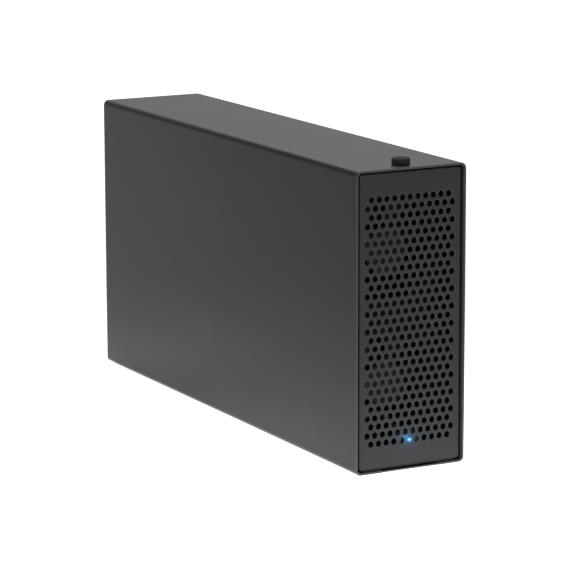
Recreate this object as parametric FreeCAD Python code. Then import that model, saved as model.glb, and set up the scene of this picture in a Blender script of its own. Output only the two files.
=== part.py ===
import FreeCAD, Part
import math
import os

# Desktop expansion chassis: a sleeve of folded sheet, and a sled with the fans, the card slots and the
# power supply that draws out of its front. Millimetres. X is the width, -Y the front, +Z up.
# The origin is under the middle of the chassis, on the surface that it stands on.

V = FreeCAD.Vector
Y_AXIS = V(0, 1, 0)
Z_AXIS = V(0, 0, 1)
TOUCH = 0.01

# Sleeve
SLEEVE_WIDTH = 90.4
SLEEVE_DEPTH = 425.0
SLEEVE_HEIGHT = 221.0
SLEEVE_WALL = 1.6
SLEEVE_EDGE_RADIUS = 4.2
FOOT_HEIGHT = 2.0
FOOT_SIZE = 14.0
FOOT_TAPER = 1.5
FOOT_INSET_X = 18.0
FOOT_INSET_Y = 34.0

# Sheet metal of the sled
SHEET = 1.2
BEND_RADIUS = 1.6
FLOOR_CLEARANCE = 0.3
SIDE_CLEARANCE = 0.5
SEAT_GAP = 0.2
PAN_FLANGE_HEIGHT = 6.0
LOW_WALL_HEIGHT = 16.0
TALL_WALL_HEIGHT = 56.0
TALL_WALL_START = 150.0
WALL_RAMP = 20.0

# Front grille
GRILLE_RECESS = 1.6
GRILLE_SIDE_GAP = 1.75
GRILLE_END_GAP = 1.2
GRILLE_CORNER_RADIUS = 2.4
GRILLE_EDGE_BEVEL = 0.7
GRILLE_RETURN = 7.0
HOLE_DIAMETER = 4.8
HOLE_PITCH = 6.35
HOLE_SIDES = 6
GRILLE_SIDE_BORDER = 4.4
GRILLE_END_BORDER = 16.1

# Tongue under the front edge
TONGUE_WIDTH = 44.5
TONGUE_LENGTH = 20.0
TONGUE_CLEARANCE = 0.7
FRONT_LIP_HEIGHT = 13.0
FRONT_LIP_INSET = 4.6

# Thumbscrew and the nut that it draws up
SCREW_SETBACK = 16.0
SCREW_HEAD_DIAMETER = 13.4
SCREW_HEAD_HEIGHT = 4.5
SCREW_HEAD_CHAMFER = 0.9
SCREW_HEAD_SIDES = 28
SCREW_DIAMETER = 4.0
SCREW_REACH = 11.5
SCREW_HOLE_CLEARANCE = 0.3
THREAD_CLEARANCE = 0.05
RING_DIAMETER = 8.0
BORE_SIDES = 12
RING_THICKNESS = 1.2
RING_CLEARANCE = 0.2
NUT_SIZE = 12.0
NUT_THICKNESS = 3.5
NUT_BOSS = 7.4
NUT_BOSS_HEIGHT = 0.8
NUT_CLEARANCE = 0.5

# Fans
FAN_SIDE_GAP = 1.9
FAN_DEPTH = 25.0
FAN_SETBACK = 35.0
FAN_END_SHARE = 0.28
FAN_CORNER_CUT = 3.0
FAN_RIM = 2.0
FAN_BORE_SIDES = 24
FAN_HUB = 36.0
FAN_HUB_SIDES = 20
FAN_BASE = 5.0
FAN_STRUT = 4.0
FAN_STRUTS = 4
FAN_STRUT_ANGLE = 45.0
FAN_BLADES = 7
BLADE_THICKNESS = 1.4
BLADE_CHORD = 20.0
BLADE_PITCH = 38.0
BLADE_CAMBER = 0.12
BLADE_SWEEP = 0.3
BLADE_ROOT_SHARE = 0.75
BLADE_TIP_GAP = 1.0
BLADE_SINK = 2.0
HUB_RECESS = 1.0
SHAFT_DIAMETER = 3.0
SHAFT_CLEARANCE = 0.05
SHAFT_LENGTH = 4.0
SHAFT_SIDES = 8

# Light in the grille
LIGHT_PIPE_CLEARANCE = 0.15
LIGHT_PIPE_PROUD = 0.3
LIGHT_SIDES = 16
LED_HOLDER_WIDTH = 18.0
LED_HOLDER_DEPTH = 4.0
LED_HOLDER_HEAD = 6.0
LED_BOARD_WIDTH = 14.0
BOARD_THICKNESS = 1.6
LEAD_DIAMETER = 1.8
LEAD_SLACK = 14.0
LEAD_BEND = 5.4
BEND_STEPS = 3
LED_LEAD_RISE = 16.0

# Power supply at the bottom rear
PSU_SIDE_GAP = 1.15
PSU_HEIGHT = 40.5
PSU_DEPTH = 150.0
PSU_FAN_RIM = 3.5
PSU_FAN_MARGIN = 4.25
PSU_FAN_SIDES = 24
PSU_FAN_POCKET = 20.0
PSU_FAN_HUB = 22.0
PSU_HUB_SIDES = 16
PSU_FAN_BLADES = 5
PSU_BLADE_CHORD = 9.0
GUARD_OVERLAP = 2.5
GUARD_CHAMFER = 9.0
GUARD_THICKNESS = 1.0
GUARD_SLOT = 3.0
GUARD_BAR = 1.8
GUARD_BORDER = 4.0
INLET_MARGIN = 5.25
INLET_WIDTH = 27.0
INLET_HEIGHT = 20.0
INLET_DEPTH = 22.0
INLET_WALL = 1.4
INLET_FLOOR = 5.0
INLET_CHAMFER = 5.0
PIN_WIDTH = 2.0
PIN_HEIGHT = 4.0
PIN_LENGTH = 14.0
PIN_SPACING = 14.0
PIN_DROP = 2.0

# Rear panel and card brackets
REAR_RECESS = 2.0
NICHE_DEPTH = 13.0
STEP_GAP = 1.6
REAR_TOP_FLANGE = 16.0
SLOT_POSITIONS = 4
SLOT_SIDE_MARGIN = 1.66
BRACKET_SPACING = 1.9
BRACKET_THICKNESS = 1.0
BRACKET_TAB = 12.2
BRACKET_TONGUE_WIDTH = 10.2
BRACKET_TAPER = 6.0
BRACKET_NOTCH = 4.4
WINDOW_WIDTH = 14.2
WINDOW_MARGIN = 6.0
VENT_WIDTH = 4.0
VENT_PITCH = 8.0
VENT_MARGIN = 8.0

# Backplane, its slots and the interface card
SHELF_LIFT = 4.0
SHELF_FLANGE = 9.0
SHELF_FRONT = 172.0
SHELF_REAR_GAP = 8.0
STANDOFF_HEIGHT = 5.0
STANDOFF_FLATS = 5.0
STANDOFF_ROWS = 3
BACKPLANE_MARGIN = 1.2
BACKPLANE_LENGTH = 200.0
TAB_ABOVE_BOARD = 106.0
CARD_OFFSET = 5.0
SLOT_SETBACK = 48.0
SLOT_WIDTH = 7.5
SLOT_HEIGHT = 11.2
SLOT_GROOVE = 1.8
SLOT_GROOVE_DEPTH = 8.0
SLOT_END_WALL = 3.0
SLOT_KEY = 1.9
SLOT_KEY_PLACE = 14.0
LONG_SLOT = 89.0
SHORT_SLOT = 56.0
INTERFACE_SLOT = 39.0
CHIP_SIZE = 21.0
CHIP_HEIGHT = 2.0
CHIP_SETBACK = 150.0
HEATSINK_SIZE = 38.0
HEATSINK_BASE = 3.0
HEATSINK_HEIGHT = 12.0
HEATSINK_FINS = 8
FIN_THICKNESS = 1.4
CARD_LENGTH = 140.0
CARD_HEIGHT = 92.0
PORT_WIDTH = 8.9
PORT_HEIGHT = 3.3
PORT_WALL = 0.35
PORT_LENGTH = 10.0
PORT_FLOOR = 2.5
PORT_BLADE_WIDTH = 6.0
PORT_BLADE_INSET = 1.2
PORT_LIFT = 34.0
PORT_SPACING = 22.0
PORT_CLEARANCE = 0.3
PORT_END_SIDES = 5
HEADER_WIDTH = 20.0
HEADER_HEIGHT = 10.0
HEADER_DEPTH = 14.0
HEADER_WALL = 1.2
HEADER_POCKET = 9.0
HEADER_GAP = 1.0
PLUG_CLEARANCE = 0.2
PLUG_BODY = 16.0
HARNESS_DIAMETER = 8.0
HARNESS_LIFT = 25.0
HARNESS_STRAIGHT = 18.0
FAN_HEADER_SIZE = 7.0
FAN_HEADER_PLACE = 20.0
FAN_HEADER_SPACING = 14.0

# Levels and planes that follow from the sizes above
front_edge = -SLEEVE_DEPTH / 2
rear_edge = SLEEVE_DEPTH / 2
sleeve_bottom = FOOT_HEIGHT
sleeve_top = FOOT_HEIGHT + SLEEVE_HEIGHT
inner_half_width = SLEEVE_WIDTH / 2 - SLEEVE_WALL
inner_bottom = sleeve_bottom + SLEEVE_WALL
inner_top = sleeve_top - SLEEVE_WALL

pan_half_width = inner_half_width - SIDE_CLEARANCE
pan_inside = pan_half_width - SHEET
floor_bottom = inner_bottom + FLOOR_CLEARANCE
floor_top = floor_bottom + SHEET

grille_half_width = inner_half_width - GRILLE_SIDE_GAP
grille_bottom = inner_bottom + GRILLE_END_GAP
grille_top = inner_top - GRILLE_END_GAP
grille_front = front_edge + GRILLE_RECESS
grille_back = grille_front + SHEET
grille_return_end = grille_front + GRILLE_RETURN
grille_middle = (grille_bottom + grille_top) / 2

bracket_half_width = grille_half_width - SHEET - SEAT_GAP
bracket_top = grille_top - SHEET - SEAT_GAP
fan_front = front_edge + FAN_SETBACK
bulkhead_front = fan_front - SHEET
led_header_x = -bracket_half_width + 2 * SHEET + 2 * LEAD_DIAMETER
screw_y = front_edge + SCREW_SETBACK
nut_top = bracket_top - SHEET - SEAT_GAP
nut_notch_bottom = sleeve_top - SCREW_REACH - 2 * NUT_CLEARANCE

fan_half = pan_inside - FAN_SIDE_GAP
fan_bore_radius = fan_half - FAN_RIM
fan_end_gap = FAN_END_SHARE * (nut_notch_bottom - floor_top - 4 * fan_half)
fan_heights = {"upper": nut_notch_bottom - fan_end_gap - fan_half,
               "lower": floor_top + fan_end_gap + fan_half}

rear_outer = rear_edge - REAR_RECESS
rear_inner = rear_outer - SHEET
niche_outer = rear_outer - NICHE_DEPTH
niche_inner = niche_outer - SHEET
psu_half_width = pan_inside - PSU_SIDE_GAP
psu_bottom = floor_top
psu_top = psu_bottom + PSU_HEIGHT
psu_rear = rear_inner
psu_front = psu_rear - PSU_DEPTH
psu_middle = (psu_bottom + psu_top) / 2
psu_fan_radius = min(PSU_HEIGHT, psu_half_width) / 2 - PSU_FAN_RIM / 2
psu_fan_x = PSU_FAN_MARGIN + psu_fan_radius - psu_half_width
inlet_x = psu_half_width - INLET_MARGIN - INLET_WIDTH / 2
rear_wall_top = psu_top + STEP_GAP - 2 * SEAT_GAP
wall_front = grille_return_end + SHEET
flange_top = floor_bottom + PAN_FLANGE_HEIGHT
step_bottom = rear_wall_top + SEAT_GAP
step_top = step_bottom + SHEET

shelf_bottom = psu_top + SHELF_LIFT
shelf_top = shelf_bottom + SHEET
shelf_half_width = pan_inside - SEAT_GAP
shelf_front = front_edge + SHELF_FRONT
shelf_rear = niche_inner - SHELF_REAR_GAP
board_bottom = shelf_top + STANDOFF_HEIGHT
board_top = board_bottom + BOARD_THICKNESS
board_half_width = shelf_half_width - SHEET - BACKPLANE_MARGIN
board_rear = shelf_rear - BACKPLANE_MARGIN
board_front = board_rear - BACKPLANE_LENGTH
tab_level = board_top + TAB_ABOVE_BOARD

bracket_outer = niche_inner - SEAT_GAP / 2
bracket_inner = bracket_outer - BRACKET_THICKNESS
rear_half_width = shelf_half_width + SHEET / 2
slot_pitch = 2 * (rear_half_width - SLOT_SIDE_MARGIN) / SLOT_POSITIONS
slot_centres = [(i - (SLOT_POSITIONS - 1) / 2) * slot_pitch for i in range(SLOT_POSITIONS)]
slot_rear = bracket_inner - SLOT_SETBACK
card_plane = slot_centres[-1] - CARD_OFFSET
card_face = card_plane + BOARD_THICKNESS / 2
card_bottom = board_top + SLOT_HEIGHT - SLOT_GROOVE_DEPTH + SEAT_GAP


def box(x0, x1, y0, y1, z0, z1):
    return Part.makeBox(x1 - x0, y1 - y0, z1 - z0, V(x0, y0, z0))


def slab(half_width, y0, y1, z0, z1):
    """A box that is centred on the middle plane."""
    return box(-half_width, half_width, y0, y1, z0, z1)


def fused(shapes):
    first = shapes[0]
    return first.fuse(shapes[1:]).removeSplitter()


def prism(points, sweep):
    """Closed polygon swept in a straight line."""
    return Part.Face(Part.makePolygon(points + points[:1])).extrude(sweep)


def ring_y(x, y, z, radius, sides, start_angle=0.0):
    """Corners of a regular polygon that faces along Y."""
    points = []
    for i in range(sides):
        angle = start_angle + 2 * math.pi * i / sides
        points.append(V(x + radius * math.cos(angle), y, z + radius * math.sin(angle)))
    return points


def polygon_y(x, y, z, radius, sides, depth, start_angle=0.0):
    """Prism with a regular section, along +Y."""
    return prism(ring_y(x, y, z, radius, sides, start_angle), V(0, depth, 0))


def flat_sided(rings):
    """Solid through like outlines, with a flat face for each pair of sides."""
    faces = [Part.Face(Part.makePolygon(ring + ring[:1])) for ring in (rings[0], rings[-1])]
    for first, last in zip(rings, rings[1:]):
        for i in range(len(first)):
            corners = [first[i - 1], first[i], last[i], last[i - 1]]
            faces.append(Part.Face(Part.makePolygon(corners + corners[:1])))
    solid = Part.Solid(Part.Shell(faces))
    if solid.Volume < 0:
        solid.reverse()
    return solid


def filleted(shape, radius, wanted):
    """Round the edges whose middle point passes the test."""
    edges = [e for e in shape.Edges if wanted(e, e.valueAt((e.FirstParameter + e.LastParameter) / 2))]
    return shape.makeFillet(radius, edges)


def along(edge, axis):
    """True for a straight edge along the axis."""
    if not isinstance(edge.Curve, Part.Line):
        return False
    return abs(edge.Curve.Direction.dot(axis)) > 1 - TOUCH


def rounded_box(half_width, y0, y1, z0, z1, radius):
    block = slab(half_width, y0, y1, z0, z1)
    return filleted(block, radius, lambda e, p: along(e, Y_AXIS))


# Sleeve and feet
def outer_sleeve():
    outer = rounded_box(SLEEVE_WIDTH / 2, front_edge, rear_edge, sleeve_bottom, sleeve_top,
                        SLEEVE_EDGE_RADIUS)
    inner_radius = SLEEVE_EDGE_RADIUS - SLEEVE_WALL
    inside = rounded_box(inner_half_width, front_edge, rear_edge, inner_bottom, inner_top, inner_radius)
    notch_half_width = TONGUE_WIDTH / 2 + TONGUE_CLEARANCE
    notch_end = front_edge + TONGUE_LENGTH + TONGUE_CLEARANCE
    notch = slab(notch_half_width, front_edge, notch_end, sleeve_bottom, inner_bottom)
    hole = screw_bore(inner_top, SLEEVE_WALL, SCREW_HOLE_CLEARANCE)
    return outer.cut([inside, notch, hole])


def foot(side, end):
    x = side * (SLEEVE_WIDTH / 2 - FOOT_INSET_X)
    y = end * (SLEEVE_DEPTH / 2 - FOOT_INSET_Y)
    rings = []
    for z, half in ((0, FOOT_SIZE / 2 - FOOT_TAPER), (FOOT_HEIGHT, FOOT_SIZE / 2)):
        corners = [V(x - half, y - half, z), V(x + half, y - half, z)]
        corners += [V(x + half, y + half, z), V(x - half, y + half, z)]
        rings.append(corners)
    return flat_sided(rings)


# Thumbscrew, the ring that keeps it in the sleeve, and its nut
def ring_z(y, z, radius, sides):
    """Corners of a regular polygon that faces up, on the middle plane."""
    points = []
    for i in range(sides):
        angle = 2 * math.pi * i / sides
        points.append(V(radius * math.cos(angle), y + radius * math.sin(angle), z))
    return points


def thumbscrew():
    """The grip of the head is a ring of flats, bevelled at the top."""
    radius = SCREW_HEAD_DIAMETER / 2
    rim_z = sleeve_top + SCREW_HEAD_HEIGHT - SCREW_HEAD_CHAMFER
    foot_ring = ring_z(screw_y, sleeve_top, radius, SCREW_HEAD_SIDES)
    rim = ring_z(screw_y, rim_z, radius, SCREW_HEAD_SIDES)
    top_z = rim_z + SCREW_HEAD_CHAMFER
    crown = ring_z(screw_y, top_z, radius - SCREW_HEAD_CHAMFER, SCREW_HEAD_SIDES)
    shank_ring = ring_z(screw_y, sleeve_top - SCREW_REACH, SCREW_DIAMETER / 2, BORE_SIDES)
    return fused([flat_sided([foot_ring, rim, crown]), prism(shank_ring, V(0, 0, SCREW_REACH))])


def screw_bore(z, depth, clearance):
    """Many-sided bore round the shank, clear of it by the clearance at its flats."""
    radius = (SCREW_DIAMETER / 2 + clearance) / math.cos(math.pi / BORE_SIDES)
    return prism(ring_z(screw_y, z, radius, BORE_SIDES), V(0, 0, depth))


def retaining_ring():
    z = inner_top - RING_CLEARANCE - RING_THICKNESS
    disc = prism(ring_z(screw_y, z, RING_DIAMETER / 2, BORE_SIDES), V(0, 0, RING_THICKNESS))
    return disc.cut(screw_bore(z, RING_THICKNESS, THREAD_CLEARANCE))


def lock_nut():
    half = NUT_SIZE / 2
    plate = slab(half, screw_y - half, screw_y + half, nut_top - NUT_THICKNESS, nut_top)
    boss_half = NUT_BOSS / 2
    boss = slab(boss_half, screw_y - boss_half, screw_y + boss_half, nut_top, nut_top + NUT_BOSS_HEIGHT)
    bore = screw_bore(nut_top - NUT_THICKNESS, NUT_THICKNESS + NUT_BOSS_HEIGHT, THREAD_CLEARANCE)
    return fused([plate, boss]).cut(bore)


# Front grille: a shallow folded lid with staggered rows of punched holes
def hole_places():
    """Centres of the holes, with the place of the light pipe first."""
    radius = HOLE_DIAMETER / 2
    reach_x = grille_half_width - GRILLE_SIDE_BORDER - radius
    reach_z = (grille_top - grille_bottom) / 2 - GRILLE_END_BORDER - radius
    half_rows = 2 * math.floor(reach_z / HOLE_PITCH / 2)
    places = [(0.0, grille_middle - half_rows * HOLE_PITCH)]
    for row in range(-half_rows, half_rows + 1):
        stagger = 0.0 if row % 2 == 0 else HOLE_PITCH / 2
        reach = math.floor((reach_x - stagger) / HOLE_PITCH)
        first = -reach if row % 2 == 0 else -reach - 1
        for column in range(first, reach + 1):
            place = (column * HOLE_PITCH + stagger, grille_middle + row * HOLE_PITCH)
            if place != places[0]:
                places.append(place)
    return places


def light_place():
    return hole_places()[0]


def front_grille():
    lid = rounded_box(grille_half_width, grille_front, grille_return_end, grille_bottom, grille_top,
                      GRILLE_CORNER_RADIUS)
    front_edges = [e for e in lid.Edges if e.BoundBox.YMax < grille_front + TOUCH]
    lid = lid.makeChamfer(GRILLE_EDGE_BEVEL, front_edges)
    inside = slab(grille_half_width - SHEET, grille_back, grille_return_end, grille_bottom + SHEET,
                  grille_top - SHEET)
    returns_bottom = grille_bottom + GRILLE_CORNER_RADIUS
    open_bottom = slab(grille_half_width, grille_back, grille_return_end, grille_bottom, returns_bottom)
    # Each punched hole is a regular prism with the open area of the round one
    sector = 2 * math.pi / HOLE_SIDES
    radius = HOLE_DIAMETER / 2 * math.sqrt(sector / math.sin(sector))
    places = hole_places()
    light_x, light_z = places[0]
    cuts = [polygon_y(light_x, grille_front, light_z, HOLE_DIAMETER / 2, LIGHT_SIDES, SHEET)]
    for x, z in places[1:]:
        cuts.append(polygon_y(x, grille_front, z, radius, HOLE_SIDES, SHEET, math.pi / 2))
    return lid.cut([inside, open_bottom]).cut(Part.makeCompound(cuts))


# Sled: tray, fan bracket, rear panel and shelf
def tray_block(front, rear, top):
    """Block with the tray's width and the outer radius of its folded lower edges."""
    block = slab(pan_half_width, front, rear, floor_bottom, top)
    outside = pan_half_width - TOUCH

    def is_bend(edge, point):
        return point.z < floor_bottom + TOUCH and abs(point.x) > outside

    return filleted(block, BEND_RADIUS, is_bend)


def base_pan():
    """Floor with folded side flanges, a front lip and the tongue."""
    block = tray_block(wall_front, rear_inner, flange_top)
    inside = slab(pan_inside, wall_front, rear_inner, floor_top, flange_top)
    lip_front = grille_back + SEAT_GAP
    lip_half_width = pan_half_width - FRONT_LIP_INSET
    lip = slab(lip_half_width, lip_front, lip_front + SHEET, floor_bottom, floor_bottom + FRONT_LIP_HEIGHT)
    front_floor = slab(lip_half_width, lip_front, wall_front, floor_bottom, floor_top)
    tongue_top = inner_bottom - SEAT_GAP
    tongue_bottom = tongue_top - SHEET
    tongue_end = front_edge + TONGUE_LENGTH
    tongue = slab(TONGUE_WIDTH / 2, front_edge, tongue_end, tongue_bottom, tongue_top)
    riser = slab(TONGUE_WIDTH / 2, tongue_end - SHEET, tongue_end, tongue_bottom, floor_top)
    return fused([block.cut([inside]), front_floor, lip, tongue, riser])


def pan_rear_wall():
    """Rear wall of the tray, with the windows of the power supply's fan and mains inlet."""
    wall = tray_block(rear_inner, rear_outer, rear_wall_top)
    fan_hole = polygon_y(psu_fan_x, rear_inner, psu_middle, psu_fan_radius, PSU_FAN_SIDES, SHEET)
    inlet_hole = inlet_outline(rear_inner, SHEET, SEAT_GAP)
    return wall.cut([fan_hole, inlet_hole])


def side_wall(side):
    """Side of the tray, which stands on the flange: low beside the fans, tall beside the shelf."""
    low = floor_bottom + LOW_WALL_HEIGHT
    tall = floor_bottom + TALL_WALL_HEIGHT
    ramp = front_edge + TALL_WALL_START
    wall_end = niche_inner - BRACKET_THICKNESS
    profile = [(wall_front, flange_top), (rear_inner, flange_top), (rear_inner, rear_wall_top)]
    profile += [(wall_end, rear_wall_top), (wall_end, tall), (ramp, tall), (ramp - WALL_RAMP, low)]
    profile.append((wall_front, low))
    x = pan_inside if side > 0 else -pan_half_width
    return prism([V(x, y, z) for y, z in profile], V(SHEET, 0, 0))


def fan_bracket():
    front = grille_back + SEAT_GAP
    bottom = floor_top + SEAT_GAP
    block = slab(bracket_half_width, front, fan_front, bottom, bracket_top)
    outside = bracket_half_width - TOUCH

    def is_bend(edge, point):
        return point.y > fan_front - TOUCH and abs(point.x) > outside

    block = filleted(block, BEND_RADIUS, is_bend)
    inside = slab(bracket_half_width - SHEET, front, bulkhead_front, bottom, bracket_top - SHEET)
    foot_flange = slab(bracket_half_width - BEND_RADIUS, fan_front, fan_front + LOW_WALL_HEIGHT / 2,
                       bottom, bottom + SHEET)
    cuts = [inside]
    for z in fan_heights.values():
        cuts.append(polygon_y(0, bulkhead_front, z, fan_bore_radius, FAN_BORE_SIDES, SHEET))
    slot_half_width = NUT_BOSS / 2 + NUT_CLEARANCE
    slot_front = screw_y - slot_half_width
    cuts.append(slab(slot_half_width, slot_front, fan_front, bracket_top - SHEET, bracket_top))
    notch_half_width = NUT_SIZE / 2 + 3 * NUT_CLEARANCE
    cuts.append(slab(notch_half_width, bulkhead_front, fan_front, nut_notch_bottom, bracket_top))
    # The leads of the light leave through the lower corner
    cuts.append(box(-bracket_half_width + 2 * SHEET, -bracket_half_width + 2 * SHEET + 4 * LEAD_DIAMETER,
                    bulkhead_front, fan_front, bottom + SHEET, bottom + SHEET + 3 * LEAD_DIAMETER))
    return fused([block.cut(cuts), foot_flange])


def rear_panel():
    top = grille_top
    profile = [(rear_outer, step_bottom), (rear_outer, step_top), (niche_outer, step_top)]
    profile += [(niche_outer, tab_level - SHEET), (rear_outer, tab_level - SHEET), (rear_outer, top)]
    profile += [(rear_outer - REAR_TOP_FLANGE, top), (rear_outer - REAR_TOP_FLANGE, top - SHEET)]
    profile += [(rear_inner, top - SHEET), (rear_inner, tab_level), (niche_inner, tab_level)]
    profile += [(niche_inner, step_bottom)]
    panel = prism([V(-rear_half_width, y, z) for y, z in profile], V(2 * rear_half_width, 0, 0))
    cuts = []
    for x in slot_centres:
        cuts.append(box(x - WINDOW_WIDTH / 2, x + WINDOW_WIDTH / 2, niche_inner, niche_outer,
                        board_top, tab_level - WINDOW_MARGIN))
    vents = 2 * math.floor((rear_half_width - VENT_MARGIN) / VENT_PITCH)
    for i in range(vents + 1):
        x = (i - vents / 2) * VENT_PITCH
        cuts.append(box(x - VENT_WIDTH / 2, x + VENT_WIDTH / 2, rear_inner, rear_outer,
                        tab_level + VENT_MARGIN, top - VENT_MARGIN))
    return panel.cut(cuts)


def backplane_shelf():
    plate = slab(shelf_half_width, shelf_front, shelf_rear, shelf_bottom, shelf_top + SHELF_FLANGE - SHEET)
    edge = shelf_half_width - TOUCH
    plate = filleted(plate, BEND_RADIUS, lambda e, p: along(e, Y_AXIS) and p.z < shelf_bottom + TOUCH
                     and abs(p.x) > edge)
    inside = slab(shelf_half_width - SHEET, shelf_front, shelf_rear, shelf_top, shelf_top + SHELF_FLANGE)
    return plate.cut(inside)


# Fans
def bearing(x, y, z):
    """Many-sided bore round a shaft, clear of it by the clearance at its flats."""
    radius = (SHAFT_DIAMETER / 2 + SHAFT_CLEARANCE) / math.cos(math.pi / SHAFT_SIDES)
    return polygon_y(x, y, z, radius, SHAFT_SIDES, SHAFT_LENGTH + SEAT_GAP)


def fan_frame(z):
    block = slab(fan_half, fan_front, fan_front + FAN_DEPTH, z - fan_half, z + fan_half)
    block = block.makeChamfer(FAN_CORNER_CUT, [e for e in block.Edges if along(e, Y_AXIS)])
    block = block.cut(polygon_y(0, fan_front, z, fan_bore_radius, FAN_BORE_SIDES, FAN_DEPTH))
    base_front = fan_front + FAN_DEPTH - FAN_BASE
    base = polygon_y(0, base_front, z, FAN_HUB / 2, FAN_HUB_SIDES, FAN_BASE)
    struts = []
    for i in range(FAN_STRUTS):
        strut = box(0, fan_bore_radius + FAN_RIM / 2, base_front, base_front + FAN_BASE,
                    z - FAN_STRUT / 2, z + FAN_STRUT / 2)
        strut.rotate(V(0, 0, z), Y_AXIS, FAN_STRUT_ANGLE + 360 / FAN_STRUTS * i)
        struts.append(strut)
    return fused([block, base] + struts).cut(bearing(0, base_front, z))


def blade_section(radius, chord, middle_y, sweep):
    """Thin bent plate across the blade, standing on the +X radius."""
    pitch = math.radians(BLADE_PITCH)
    run = V(0, math.sin(pitch), math.cos(pitch))
    normal = V(0, math.cos(pitch), -math.sin(pitch))
    centre = V(radius, middle_y, sweep)
    front = []
    back = []
    for place, bend in ((-0.5, 0.0), (0.0, BLADE_CAMBER), (0.5, 0.0)):
        point = centre + run * (place * chord) + normal * (bend * chord)
        front.append(point)
        back.append(point + normal * BLADE_THICKNESS)
    return front + back[::-1]


def rotor(hub_radius, hub_sides, bore_radius, bore_sides, front, length, blades, chord):
    """Hub, blades and shaft about the Y axis, with the hub's face at front."""
    hub = polygon_y(0, front, 0, hub_radius, hub_sides, length)
    shaft = polygon_y(0, front + length, 0, SHAFT_DIAMETER / 2, SHAFT_SIDES, SHAFT_LENGTH)
    middle = front + length / 2
    sweep = BLADE_SWEEP * chord
    tip_radius = bore_radius * math.cos(math.pi / bore_sides) - BLADE_TIP_GAP
    spread = sweep + chord / 2 * math.cos(math.radians(BLADE_PITCH))
    tip_x = math.sqrt(tip_radius ** 2 - spread ** 2)
    pieces = [hub, shaft]
    for i in range(blades):
        root = blade_section(hub_radius - BLADE_SINK, chord * BLADE_ROOT_SHARE, middle, 0)
        tip = blade_section(tip_x, chord, middle, sweep)
        blade = flat_sided([root, tip])
        blade.rotate(V(0, 0, 0), Y_AXIS, 360 / blades * i)
        pieces.append(blade)
    return fused(pieces)


def fan_rotor(z):
    length = FAN_DEPTH - FAN_BASE - HUB_RECESS - SEAT_GAP
    wheel = rotor(FAN_HUB / 2, FAN_HUB_SIDES, fan_bore_radius, FAN_BORE_SIDES, fan_front + HUB_RECESS,
                  length, FAN_BLADES, BLADE_CHORD)
    wheel.translate(V(0, 0, z))
    return wheel


# Light in the lowest row of holes
lip_back = grille_back + SEAT_GAP + SHEET
holder_back = lip_back + LED_HOLDER_DEPTH


def light_pipe():
    x, z = light_place()
    radius = HOLE_DIAMETER / 2 - LIGHT_PIPE_CLEARANCE
    length = holder_back - grille_front
    pipe = polygon_y(x, grille_front, z, radius, LIGHT_SIDES, length)
    rim = ring_y(x, grille_front, z, radius, LIGHT_SIDES)
    crown = ring_y(x, grille_front - LIGHT_PIPE_PROUD, z, radius - LIGHT_PIPE_PROUD, LIGHT_SIDES)
    return fused([pipe, flat_sided([rim, crown])])


def led_holder():
    x, z = light_place()
    half = LED_HOLDER_WIDTH / 2
    block = box(x - half, x + half, lip_back, holder_back, floor_top, z + LED_HOLDER_HEAD)
    return block.cut(polygon_y(x, lip_back, z, HOLE_DIAMETER / 2, LIGHT_SIDES, LED_HOLDER_DEPTH))


def led_board():
    x, z = light_place()
    half = LED_BOARD_WIDTH / 2
    return box(x - half, x + half, holder_back, holder_back + BOARD_THICKNESS, z - half, z + LED_HOLDER_HEAD)


# Leads: straight runs joined by bends of a few flat steps
def bent_path(points, radius):
    """The corners of the route, each replaced by the points of a round bend."""
    path = [points[0]]
    for before, corner, after in zip(points, points[1:], points[2:]):
        back = (before - corner).normalize()
        ahead = (after - corner).normalize()
        half_angle = back.getAngle(ahead) / 2
        centre = corner + (back + ahead).normalize() * (radius / math.sin(half_angle))
        arm = corner + back * (radius / math.tan(half_angle)) - centre
        turn = 180 - 2 * math.degrees(half_angle)
        for step in range(BEND_STEPS + 1):
            rotation = FreeCAD.Rotation(ahead.cross(back), turn * step / BEND_STEPS)
            path.append(centre + rotation.multVec(arm))
    path.append(points[-1])
    return path


def lead(points, width, height, radius):
    """Lead with a rectangular section squared to its first bend, mitred at each step of its bends."""
    path = bent_path(points, radius)
    ahead = (path[1] - path[0]).normalize()
    inward = points[2] - points[1]
    inward = (inward - ahead * inward.dot(ahead)).normalize()
    across = ahead.cross(inward)
    ring = []
    for a, b in ((-1, -1), (1, -1), (1, 1), (-1, 1)):
        ring.append(path[0] + across * (a * width / 2) + inward * (b * height / 2))
    rings = [ring]
    for i in range(1, len(path)):
        ahead = (path[i] - path[i - 1]).normalize()
        after = (path[i + 1] - path[i]).normalize() if i + 1 < len(path) else ahead
        mitre = ahead + after
        ring = [p + ahead * ((path[i] - p).dot(mitre) / ahead.dot(mitre)) for p in ring]
        rings.append(ring)
    return flat_sided(rings)


def led_lead():
    """Twin lead from the back of the board to the corner of the bracket, and along the floor."""
    x, z = light_place()
    start_y = holder_back + BOARD_THICKNESS
    middle_y = (start_y + bulkhead_front) / 2
    low = floor_top + SEAT_GAP + SHEET + LEAD_DIAMETER
    rise_y = min(shelf_front, board_front) - LEAD_SLACK
    header_z = board_top + FAN_HEADER_SIZE / 2
    points = [V(x, start_y, z), V(x, middle_y, z), V(led_header_x, middle_y, z + LED_LEAD_RISE)]
    points += [V(led_header_x, middle_y, low), V(led_header_x, rise_y, low)]
    points += [V(led_header_x, rise_y, header_z), V(led_header_x, board_front, header_z)]
    return lead(points, 2 * LEAD_DIAMETER, LEAD_DIAMETER, LEAD_BEND)


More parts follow.
